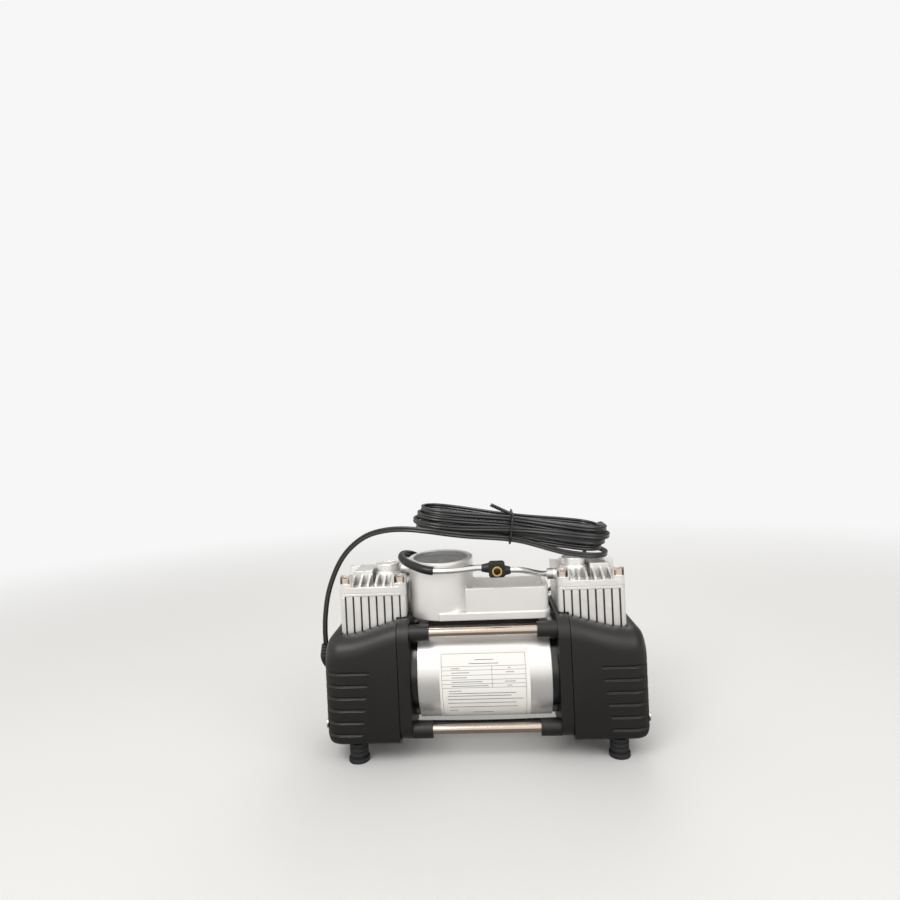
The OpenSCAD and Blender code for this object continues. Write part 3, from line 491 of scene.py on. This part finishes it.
def step(tree, kind, **inputs):
    """A node of a tree. Inputs are sockets to link or plain values, by name."""
    node = tree.nodes.new("GeometryNode" + kind)
    for label, value in inputs.items():
        socket = next(s for s in node.inputs if s.name == label.replace("_", " ") and s.enabled)
        if isinstance(value, bpy.types.NodeSocket):
            tree.links.new(value, socket)
        else:
            socket.default_value = value
    return node.outputs[0]


def end_tree(tree, geometry, material):
    """The last steps of every tree: real geometry and a material."""
    real = step(tree, "RealizeInstances", Geometry=geometry)
    dressed = step(tree, "SetMaterial", Geometry=real, Material=material)
    tree.links.new(dressed, tree.nodes.new("NodeGroupOutput").inputs[0])


def line_mesh(name, lines, closed=False):
    """A mesh of vertices and edges only, from lists of points in millimetres."""
    mesh = bpy.data.meshes.new(name)
    places = []
    edges = []
    for line in lines:
        first = len(places)
        places += [Vector(p) * MM for p in line]
        edges += [(first + i, first + i + 1) for i in range(len(line) - 1)]
        if closed:
            edges.append((len(places) - 1, first))
    mesh.from_pydata(places, edges, [])
    return mesh


def bake(name, guide, tree, **values):
    """The plain mesh that a tree makes from a guide mesh. Values are the tree's inputs, by name."""
    holder = bpy.data.objects.new(name + "_guide", guide)
    scene.collection.objects.link(holder)
    modifier = holder.modifiers.new("nodes", "NODES")
    modifier.node_group = tree
    for item in tree.interface.items_tree:
        key = item.name.replace(" ", "_")
        if item.in_out == "INPUT" and key in values:
            modifier[item.identifier] = values[key]
    mesh = bpy.data.meshes.new_from_object(holder.evaluated_get(bpy.context.evaluated_depsgraph_get()))
    mesh.name = name
    bpy.data.objects.remove(holder)
    return mesh


def add_piece(name, mesh, slot, *nodes, angle=35):
    """A finished piece on the frame body, standing for the given CAD nodes."""
    mesh.set_sharp_from_angle(angle=math.radians(angle))
    piece = bpy.data.objects.new(name, mesh)
    scene.collection.objects.link(piece)
    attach(piece, "frame")
    if nodes:
        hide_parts(*nodes)
    print(name, len(mesh.polygons), "faces")
    return piece


# %% [markdown]
# A bent tube is a circle drawn along a line. The tree turns the guide's edges into a curve, sweeps a circle
# along it and closes the ends. The same tree later makes the vents' cutters and lips, the boss rings, the
# wire tie and the label's rules.

# %% Swept tubes
def swept_tree():
    """The tree that draws a circle along the guide's edges."""
    tree, given = new_tree("swept_tube", [("Radius", "Float", 0.002), ("Sides", "Int", 20),
                                          ("Material", "Material", None)])
    curve = step(tree, "MeshToCurve", Mesh=given["Geometry"])
    circle = step(tree, "CurvePrimitiveCircle", Resolution=given["Sides"], Radius=given["Radius"])
    tube = step(tree, "CurveToMesh", Curve=curve, Profile_Curve=circle, Fill_Caps=True)
    end_tree(tree, tube, given["Material"])
    return tree


SWEPT = swept_tree()


def swept(name, lines, radius, slot, sides=20, closed=False):
    """The mesh of tubes along lines of points. Points and radius are in millimetres."""
    return bake(name, line_mesh(name, lines, closed), SWEPT, Radius=radius * MM, Sides=sides,
                Material=FINISHES[slot])


LEFT_TUBE = [(1.5, -37, 164), (-4, -37, 164), (-14, -38.1, 163.3), (-26, -38.9, 162.8), (-37, -38.5, 162.8),
             (-40, -38.2, 163)]
RIGHT_TUBE = [(26, -37, 161.4), (31.5, -37, 161.4), (39, -33.2, 159.7), (46, -28.5, 157), (53, -22.5, 154.3),
              (57.5, -20, 153.5), (63.5, -20, 153.5)]
SLEEVE = [(-40, -38.2, 163), (-43, -37.9, 163.4), (-49, -36, 164.5), (-57, -30.5, 166.4), (-65, -22, 168.6),
          (-70, -11, 170.2), (-71, 1, 170.6), (-69.5, 9.5, 170), (-65.8, 15.6, 168.6), (-61.6, 19, 166.2),
          (-59.2, 20, 163), (-59.2, 20, 161.2), (-59.2, 20, 159.5)]
FEED = [(x, y, 160) for x, y in ((10, -30), (10, -28), (10, -26), (7.5, -19), (1, -14.6), (-4, -14),
                                 (-6.5, -14), (-9, -14))]
UNDER_LEAD = [(-63, -14, 21.4), (-40, -14, 21), (-15, -14, 20.6), (15, -14, 20.6), (40, -14, 21),
              (63, -14, 21.4)]
BEND_STEPS = 8
for node, route, radius, slot in (
        ("tube_left", LEFT_TUBE, 2.5, "chrome_tube"), ("tube_right", RIGHT_TUBE, 2.5, "chrome_tube"),
        ("tube_sleeve", SLEEVE, 3.5, "hose_black"), ("gauge_feed", FEED, 2.2, "hose_black"),
        ("motor_lead", UNDER_LEAD, 2.6, "hose_black")):
    bent = swept(node + "_bent", [smooth_line(route, BEND_STEPS)], radius, slot)
    add_piece(node + "_bent", bent, slot, node)

# %% [markdown]
# The end covers are hollow mouldings. Seen from the end they are round-cornered boxes, seen from above their
# outer corners are round, and seen from the front the top falls in a soft S from the inner edge to
# the outer end. A loft is the natural way to get all three: one closed outline at each station along X, each
# joined to the next, once for the outside and once for the inside.

# %% Cover skins
COVER_IN = 73.4
COVER_OUT = 138
COVER_HALF_DEPTH = 48
COVER_BOTTOM = 18
SHOULDER_TOP = 108.5
CREST_TOP = 121.5
SHOULDER_FROM = 60
SHOULDER_TO = 124
PLAN_RADIUS = 16
NOSE_RADIUS = 12
LOW_RADIUS = 7
LOW_NOSE = 6
WALL = 2.5
CORNER_STEPS = 8
STRAIGHT_STATIONS = 18
TURN_STATIONS = 12


def shoulder_height(x):
    """The height of a cover's top at x."""
    t = max(0.0, min(1.0, (x - SHOULDER_FROM) / (SHOULDER_TO - SHOULDER_FROM)))
    return CREST_TOP - (CREST_TOP - SHOULDER_TOP) * (1 - math.cos(math.pi * t)) / 2


def round_end(x, end, radius):
    """How far an outline has drawn in at x, where it ends in a quarter circle."""
    past = max(0.0, min(radius, x - (end - radius)))
    return radius - math.sqrt(radius * radius - past * past)


def cover_ring(x, inset):
    """Points of a cover's outline at station x, drawn in by inset."""
    end = COVER_OUT - inset
    half = COVER_HALF_DEPTH - inset - round_end(x, end, PLAN_RADIUS - inset)
    low = COVER_BOTTOM + inset + round_end(x, end, LOW_NOSE)
    high = shoulder_height(x) - inset - round_end(x, end, NOSE_RADIUS)
    ring = []
    for corner, (y, z) in enumerate(((1, 1), (-1, 1), (-1, -1), (1, -1))):
        radius = (PLAN_RADIUS if z > 0 else LOW_RADIUS) - inset
        middle = Vector((x, y * (half - radius), (high - radius) if z > 0 else (low + radius)))
        for k in range(CORNER_STEPS + 1):
            angle = math.pi / 2 * (corner + k / CORNER_STEPS)
            ring.append(middle + radius * Vector((0, math.cos(angle), math.sin(angle))))
    return ring


def cover_skin(mesh, inset):
    """The loft of one skin, as rings of vertices, closed at its outer end."""
    end = COVER_OUT - inset
    turn = PLAN_RADIUS - inset
    straight = end - turn - COVER_IN
    stations = [COVER_IN + straight * k / STRAIGHT_STATIONS for k in range(STRAIGHT_STATIONS + 1)]
    angles = [math.radians(90 * k / TURN_STATIONS) for k in range(1, TURN_STATIONS + 1)]
    stations += [end - turn + turn * math.sin(angle) for angle in angles]
    rings = [[mesh.verts.new(p * MM) for p in cover_ring(x, inset)] for x in stations]
    for near, far in zip(rings, rings[1:]):
        for k in range(len(near)):
            mesh.faces.new((near[k - 1], near[k], far[k], far[k - 1]))
    mesh.faces.new(rings[-1])
    return rings[0]


def cover_shell(name, side):
    """A closed shell: both skins and the rim between them. The left one is a mirror image."""
    shell = bmesh.new()
    outer = cover_skin(shell, 0)
    inner = cover_skin(shell, WALL)
    for k in range(len(outer)):
        shell.faces.new((outer[k - 1], outer[k], inner[k], inner[k - 1]))
    for vert in shell.verts:
        vert.co.x *= side
    bmesh.ops.recalc_face_normals(shell, faces=shell.faces)
    mesh = bpy.data.meshes.new(name)
    shell.to_mesh(mesh)
    shell.free()
    return mesh


cover_meshes = {side: cover_shell("cover_shell", side) for side in (-1, 1)}
print("cover skin faces:", len(cover_meshes[1].polygons))

# %% [markdown]
# Six vents run round each outer corner, front and back. They are shallow round-bottomed grooves, so a
# swept tube is their cutter: it follows the cover's plan and leaves the surface at both ends,
# which lets each groove fade out. The same Boolean takes out the hole for the cylinder, the screws'
# sinks, and on the left the holes for the switch and the cord.

# %% Vents and holes
VENTS = 6
VENT_PITCH = 10.4
VENT_LOW = 28.2
VENT_STEP = 1.45
VENT_RADIUS = 1.2
VENT_LIFT = 0.2
VENT_START = 106
VENT_FADE = 3
VENT_CLEAR = 2.2
VENT_END_Y = 28
VENT_TURN = 10
STACK_HOLE = ((60, -29.6, 92), (124.6, 29.6, 145))
SCREW_PLACE = (36, 34)
SINK_DEPTH = 1.4
SINK_CLEAR = 3
SINK_RADIUS = 4.3
HOLE_OUT, HOLE_IN = -COVER_OUT - 2, -COVER_OUT + 4
SWITCH_HOLE = ((HOLE_OUT, -17, 65), (HOLE_IN, 1, 91))
GLAND_PLACE = (20, 62)
GLAND_RADIUS = 5


def vent_line(k, front):
    """The path of one vent round the right cover's outer corner."""
    z = VENT_LOW + k * VENT_PITCH
    start = VENT_START - VENT_STEP * k
    radius = PLAN_RADIUS + VENT_LIFT
    middle = Vector((COVER_OUT - PLAN_RADIUS, -(COVER_HALF_DEPTH - PLAN_RADIUS), z))
    line = [Vector((start - VENT_FADE, -COVER_HALF_DEPTH - VENT_CLEAR, z)),
            Vector((start, middle.y - radius, z))]
    for turn in range(0, 91, VENT_TURN):
        angle = math.radians(turn)
        line.append(middle + radius * Vector((math.sin(angle), -math.cos(angle), 0)))
    line.append(Vector((COVER_OUT + VENT_LIFT, -VENT_END_Y, z)))
    line.append(Vector((COVER_OUT + VENT_CLEAR, VENT_FADE - VENT_END_Y, z)))
    return [Vector((p.x, p.y if front else -p.y, p.z)) for p in line]


def box_faces(mesh, low, high):
    """A box added to a bmesh, between two corners in millimetres."""
    corners = bmesh.ops.create_cube(mesh, size=1)["verts"]
    for vert in corners:
        vert.co = Vector(((low[i] + high[i]) / 2 + vert.co[i] * (high[i] - low[i]) for i in range(3))) * MM


def rod_faces(mesh, x0, x1, y, z, radius):
    """A rod along X added to a bmesh, in millimetres."""
    turn = Matrix.Translation(Vector(((x0 + x1) / 2, y, z)) * MM) @ Matrix.Rotation(math.pi / 2, 4, "Y")
    bmesh.ops.create_cone(mesh, cap_ends=True, segments=32, radius1=radius * MM, radius2=radius * MM,
                          depth=abs(x1 - x0) * MM, matrix=turn)


def cover_cutter(side):
    """An object with all that is cut from one cover."""
    cutter = bmesh.new()
    vents = [vent_line(k, front) for k in range(VENTS) for front in (True, False)]
    cutter.from_mesh(swept("vents", vents, VENT_RADIUS, "black_plastic", sides=14))
    box_faces(cutter, *STACK_HOLE)
    for y in (-1, 1):
        rod_faces(cutter, COVER_OUT - SINK_DEPTH, COVER_OUT + SINK_CLEAR, y * SCREW_PLACE[0], SCREW_PLACE[1],
                  SINK_RADIUS)
    for vert in cutter.verts:
        vert.co.x *= side
    if side < 0:
        box_faces(cutter, *SWITCH_HOLE)
        rod_faces(cutter, HOLE_OUT, HOLE_IN, *GLAND_PLACE, GLAND_RADIUS)
    bmesh.ops.recalc_face_normals(cutter, faces=cutter.faces)
    mesh = bpy.data.meshes.new("cover_cutter")
    cutter.to_mesh(mesh)
    cutter.free()
    return bpy.data.objects.new("cover_cutter", mesh)


def cut_cover(side):
    """A cover's shell with its vents and holes cut."""
    holder = bpy.data.objects.new("cover_holder", cover_meshes[side])
    cutter = cover_cutter(side)
    for item in (holder, cutter):
        scene.collection.objects.link(item)
    boolean = holder.modifiers.new("holes", "BOOLEAN")
    boolean.object = cutter
    boolean.solver = "MANIFOLD"
    mesh = bpy.data.meshes.new_from_object(holder.evaluated_get(bpy.context.evaluated_depsgraph_get()))
    for item in (holder, cutter):
        bpy.data.objects.remove(item)
    mesh.materials.clear()
    mesh.materials.append(FINISHES["black_plastic"])
    return mesh


for side, label in ((-1, "left"), (1, "right")):
    add_piece("cover_" + label + "_moulded", cut_cover(side), "black_plastic", "cover_" + label, angle=30)

# %% [markdown]
# Each vent has a fine raised lip along its lower edge, which catches the light. It follows the vent's own
# line, a little lower and half sunk in the surface, on both covers.

# %% Vent lips
LIP_RADIUS = 0.42
LIP_DROP = 1.3
LIP_POINTS = 9


def lip_line(k, front, side):
    """The path of the lip under one vent, which stops before the screw's sink."""
    line = vent_line(k, front)[1:LIP_POINTS]
    return [Vector((side * p.x, p.y, p.z - LIP_DROP)) for p in line]


lips = [lip_line(k, front, side) for k in range(VENTS) for front in (True, False) for side in (-1, 1)]
add_piece("vent_lips", swept("vent_lips", lips, LIP_RADIUS, "gloss_black", sides=8), "gloss_black")

# %% [markdown]
# The round boss on each head has a rounded rim and a ring inside it. They are closed circles swept by the
# same tree, and mostly sunk in the casting.

# %% Boss rings
BOSS_PLACE = (85, 0, 163.7)
RING_RADIUS = 0.65
RING_REACHES = (10.5, 7)
RING_POINTS = 48


def ring_line(side, reach):
    """A level circle round the top of one boss."""
    turns = [math.tau * k / RING_POINTS for k in range(RING_POINTS)]
    x, y, z = BOSS_PLACE
    return [Vector((side * x + reach * math.cos(a), y + reach * math.sin(a), z)) for a in turns]


boss_lines = [ring_line(side, reach) for side in (-1, 1) for reach in RING_REACHES]
add_piece("boss_rings", swept("boss_rings", boss_lines, RING_RADIUS, "cast_aluminium", sides=12, closed=True),
          "cast_aluminium")

# %% [markdown]
# A coated wire ties the hank at its waist, with its two ends twisted together at the upper front. The loop
# is a closed line, and the twisted ends are two helices half a turn apart. All of it is one swept line mesh.

# %% Wire tie
TIE_RADIUS = 0.9
TIE_HALF_WIDE = 22
TIE_HALF_TALL = 13.2
TIE_CORNER = 6
TIE_CORNER_STEPS = 6
TWIST_LENGTH = 22
TWIST_TURNS = 5
STEPS_PER_TWIST = 16
TWIST_WAY = Vector((-0.88, -0.12, 0.46)).normalized()


def tie_point(across, pile):
    """A point of the hank's waist."""
    return HANK_MIDDLE + across * FOLD_WAY + pile * PILE_WAY


def tie_loop():
    """A closed round-cornered loop about the waist."""
    loop = []
    for corner, (a, p) in enumerate(((1, 1), (-1, 1), (-1, -1), (1, -1))):
        for k in range(TIE_CORNER_STEPS + 1):
            angle = math.pi / 2 * (corner + k / TIE_CORNER_STEPS)
            loop.append(tie_point(a * (TIE_HALF_WIDE - TIE_CORNER) + TIE_CORNER * math.cos(angle),
                                  p * (TIE_HALF_TALL - TIE_CORNER) + TIE_CORNER * math.sin(angle)))
    return loop + loop[:1]


def twisted_end(phase):
    """One strand of the two twisted ends, as a helix."""
    root = tie_point(-TIE_HALF_WIDE + TIE_CORNER, TIE_HALF_TALL)
    aside = TWIST_WAY.cross(Vector((0, 1, 0))).normalized()
    other = TWIST_WAY.cross(aside)
    steps = STEPS_PER_TWIST * TWIST_TURNS
    end = []
    for k in range(steps + 1):
        angle = 2 * math.pi * TWIST_TURNS * k / steps + phase
        end.append(root + TWIST_WAY * TWIST_LENGTH * k / steps
                   + TIE_RADIUS * (math.cos(angle) * aside + math.sin(angle) * other))
    return end


tie_lines = [tie_loop(), twisted_end(0), twisted_end(math.pi)]
cord_tie = add_piece("cord_tie_wire", swept("cord_tie_wire", tie_lines, TIE_RADIUS, "cord_black", sides=10),
                     "cord_black", "cord_tie")

# %% [markdown]
# The rating plate is a white film with a ruled table and no words. Each rule is a hair-thin line that lies on
# the film: straight ones along the motor, and arcs round it for the columns. Finer, shorter rules stand where
# a plate carries its lines of print.

# %% Label rules
CAN_AXIS = 69
LABEL_REACH = 43.8
LABEL_LEFT, LABEL_RIGHT, LABEL_SPLIT = -36.4, 34.8, 6.3
LABEL_TOP, LABEL_BOTTOM = 30.7, -57
TABLE_ROWS = [17.2, 13.2, 7.9, 3, -1.6, -6]
PRINT_ROWS = [
    (24, -8, 8), (20, -13, 12), (15, -28, -21), (10.5, -28, -13), (5.3, -28, -15), (0.6, -28, -2),
    (-4, -28, 3), (15, 20, 22), (10.5, 18, 25), (0.6, 17, 26), (-4, 19, 23), (-9.5, -31, -20),
    (-12.8, -31, 26), (-16, -32, 22), (-20.5, -32, 32), (-26, -32, 26), (-32.5, -31, 27), (-39, -31, -24),
    (-44, -11, 7)]
COLUMN_STEPS = 24
RULE_RADIUS = 0.13
PRINT_RADIUS = 0.22


def on_label(x, degrees):
    """A point on the film, degrees above the front."""
    angle = math.radians(degrees)
    return Vector((x, -LABEL_REACH * math.cos(angle), CAN_AXIS + LABEL_REACH * math.sin(angle)))


def column(x, top, bottom):
    """An arc round the film, between two places in degrees."""
    return [on_label(x, top + (bottom - top) * k / COLUMN_STEPS) for k in range(COLUMN_STEPS + 1)]


row_places = [LABEL_TOP] + TABLE_ROWS + [LABEL_BOTTOM]
rows = [[on_label(LABEL_LEFT, d), on_label(LABEL_RIGHT, d)] for d in row_places]
columns = [column(x, LABEL_TOP, LABEL_BOTTOM) for x in (LABEL_LEFT, LABEL_RIGHT)]
columns.append(column(LABEL_SPLIT, TABLE_ROWS[0], TABLE_ROWS[-1]))
prints = [[on_label(x0, d), on_label(x1, d)] for d, x0, x1 in PRINT_ROWS]
for name, lines, radius in (("label_rules", rows + columns, RULE_RADIUS),
                            ("label_print", prints, PRINT_RADIUS)):
    add_piece(name, swept(name, lines, radius, "gauge_black", sides=6), "gauge_black")

# %% [markdown]
# The gauge's dial has a ring of white marks, long ones at the main steps. An arc is turned into points, and
# each point gets a thin bar that lies across the arc. Numbers are left off.

# %% Dial marks
GAUGE_PLACE = Vector((-35.5, -5, 169))
GAUGE_TILT = math.radians(3)
DIAL_DEPTH = 7.95
DIAL_START = math.radians(-45)
DIAL_SWEEP = math.radians(270)
ARC_POINTS = 90
# How many marks, how far out, and the size of one.
MARK_ROWS = ((7, 20.5, (4.4, 0.1, 0.9)), (31, 21.6, (2.2, 0.1, 0.4)))


def dial_tree():
    """Marks on the points of an arc, turned with it."""
    tree, given = new_tree("dial_marks", [("Radius", "Float", 0.02), ("Count", "Int", 9),
                                          ("Mark Size", "Vector", (0.001, 0.001, 0.001)),
                                          ("Material", "Material", None)])
    arc = step(tree, "CurveArc", Radius=given["Radius"], Resolution=ARC_POINTS, Start_Angle=DIAL_START,
               Sweep_Angle=DIAL_SWEEP)
    points = tree.nodes.new("GeometryNodeCurveToPoints")
    tree.links.new(arc, points.inputs["Curve"])
    tree.links.new(given["Count"], points.inputs["Count"])
    mark = step(tree, "MeshCube", Size=given["Mark Size"])
    marks = step(tree, "InstanceOnPoints", Points=points.outputs["Points"], Instance=mark,
                 Rotation=points.outputs["Rotation"])
    end_tree(tree, marks, given["Material"])
    return tree


dial_marks = bmesh.new()
DIAL = dial_tree()
for count, radius, size in MARK_ROWS:
    dial_marks.from_mesh(bake("marks", line_mesh("marks", [[(0, 0, 0)]]), DIAL, Radius=radius * MM,
                              Count=count, Mark_Size=tuple(v * MM for v in size),
                              Material=FINISHES["needle_white"]))
dial_marks.transform(Matrix.Translation(GAUGE_PLACE * MM) @ Matrix.Rotation(GAUGE_TILT, 4, "X")
                     @ Matrix.Translation((0, 0, -DIAL_DEPTH * MM)))
dial_mesh = bpy.data.meshes.new("dial_marks")
dial_marks.to_mesh(dial_mesh)
dial_marks.free()
dial_mesh.materials.append(FINISHES["needle_white"])
add_piece("dial_marks", dial_mesh, "needle_white")

# %% [markdown]
# The stage is a pale floor and a white surround. Two large soft lamps stand above the front, and a third one
# behind picks out the edges. The world is white to the camera and softer as a light. What mirrors see of it
# is bright towards the upper front and dims away from there, so that round metal shows its roundness.

# %% Stage and light
SURROUND = (0.93, 0.93, 0.93, 1)
LAMP_TARGET = Vector((0, 0, 0.1))
LAMPS = (("key_lamp", (-0.55, -1.0, 1.25), 0.9, 10.5), ("fill_lamp", (0.9, -0.9, 0.9), 1.2, 5.5),
         ("back_lamp", (0.2, 1.2, 1.1), 1.0, 5))
SKY_COLOUR = (1.0, 0.98, 0.95, 1)
SKY_STRENGTH = 0.6
MIRRORED_COLOUR = (1.0, 0.985, 0.96, 1)
BRIGHT_WAY = Vector((-0.3, -0.7, 0.65)).normalized()
AWAY_FROM_IT, TOWARDS_IT = -0.5, 0.8
SKY_DIM, SKY_BRIGHT = 0.25, 1.25


def soft_lamp(name, place, size, power):
    """A round soft lamp that looks at the object."""
    data = bpy.data.lights.new(name, "AREA")
    data.shape = "DISK"
    data.size = size
    data.energy = power
    lamp = bpy.data.objects.new(name, data)
    lamp.location = place
    lamp.rotation_euler = (LAMP_TARGET - Vector(place)).to_track_quat("-Z", "Y").to_euler()
    scene.collection.objects.link(lamp)


def layered(tree, shown, layers):
    """Shaders mixed one over another. Each layer is a factor and a node."""
    for factor, node in layers:
        mix = tree.nodes.new("ShaderNodeMixShader")
        tree.links.new(factor, mix.inputs["Fac"])
        tree.links.new(shown, mix.inputs[1])
        tree.links.new(node.outputs[0], mix.inputs[2])
        shown = mix.outputs[0]
    return shown


for lamp_row in LAMPS:
    soft_lamp(*lamp_row)
world = bpy.data.worlds.new("studio")
scene.world = world
world.use_nodes = True
sky = world.node_tree
sky_light = sky.nodes["Background"]
sky_light.inputs["Color"].default_value = SKY_COLOUR
sky_light.inputs["Strength"].default_value = SKY_STRENGTH
sky_seen = sky.nodes.new("ShaderNodeBackground")
sky_seen.inputs["Color"].default_value = SURROUND
facing = sky.nodes.new("ShaderNodeVectorMath")
facing.operation = "DOT_PRODUCT"
facing.inputs[1].default_value = BRIGHT_WAY
sky.links.new(sky.nodes.new("ShaderNodeTexCoord").outputs["Generated"], facing.inputs[0])
mirrored = ramp(sky, facing.outputs["Value"], AWAY_FROM_IT, TOWARDS_IT, SKY_DIM, SKY_BRIGHT, "SMOOTHSTEP")
sky_mirrored = sky.nodes.new("ShaderNodeBackground")
sky_mirrored.inputs["Color"].default_value = MIRRORED_COLOUR
sky.links.new(mirrored, sky_mirrored.inputs["Strength"])
rays = sky.nodes.new("ShaderNodeLightPath").outputs
sky_shown = layered(sky, sky_light.outputs[0], (
    (rays["Is Glossy Ray"], sky_mirrored), (rays["Is Transmission Ray"], sky_seen),
    (rays["Is Camera Ray"], sky_seen)))
sky.links.new(sky_shown, sky.nodes["World Output"].inputs["Surface"])

# %% [markdown]
# The floor is pale and takes the object's shadow. Further out it fades into the white surround, so that no
# horizon shows: the mix is driven by the distance from the origin. In mirrors the floor is dark near the
# object and bright further out, which gives the tubes and rods dark lower edges and the castings pale fronts.

# %% Floor
FLOOR_HALF = 4.0
FLOOR_DROP = 0.0002
FLOOR_COLOUR = (0.8, 0.8, 0.79, 1)
FLOOR_MIRRORED = (1.0, 0.97, 0.94, 1)
FADE_FROM = 0.5
FADE_TO = 1.6
MIRROR_FROM = 0.2
MIRROR_TO = 0.7
MIRROR_NEAR = 0.25
MIRROR_FAR = 0.85


def pale_floor():
    """The floor's material, a different one to mirrors."""
    material = bpy.data.materials.new("floor_pale")
    material.use_nodes = True
    tree = material.node_tree
    ground = tree.nodes["Principled BSDF"]
    ground.inputs["Base Color"].default_value = FLOOR_COLOUR
    ground.inputs["Roughness"].default_value = 0.7
    glow = tree.nodes.new("ShaderNodeEmission")
    glow.inputs["Color"].default_value = SURROUND
    away = tree.nodes.new("ShaderNodeVectorMath")
    away.operation = "LENGTH"
    tree.links.new(tree.nodes.new("ShaderNodeTexCoord").outputs["Object"], away.inputs[0])
    distance = away.outputs["Value"]
    fade = ramp(tree, distance, FADE_FROM, FADE_TO, 0, 1, "SMOOTHSTEP")
    mirrored_floor = tree.nodes.new("ShaderNodeEmission")
    mirrored_floor.inputs["Color"].default_value = FLOOR_MIRRORED
    level = ramp(tree, distance, MIRROR_FROM, MIRROR_TO, MIRROR_NEAR, MIRROR_FAR, "SMOOTHSTEP")
    tree.links.new(level, mirrored_floor.inputs["Strength"])
    in_mirrors = tree.nodes.new("ShaderNodeLightPath").outputs["Is Glossy Ray"]
    shown = layered(tree, ground.outputs[0], ((fade, glow), (in_mirrors, mirrored_floor)))
    tree.links.new(shown, tree.nodes["Material Output"].inputs["Surface"])
    return material


floor_mesh = bpy.data.meshes.new("floor")
floor_corners = ((-1, -1), (1, -1), (1, 1), (-1, 1))
floor_points = [(x * FLOOR_HALF, y * FLOOR_HALF, -FLOOR_DROP) for x, y in floor_corners]
floor_mesh.from_pydata(floor_points, [], [(0, 1, 2, 3)])
floor = bpy.data.objects.new("floor", floor_mesh)
scene.collection.objects.link(floor)
floor_mesh.materials.append(pale_floor())
scene.view_settings.view_transform = "Standard"
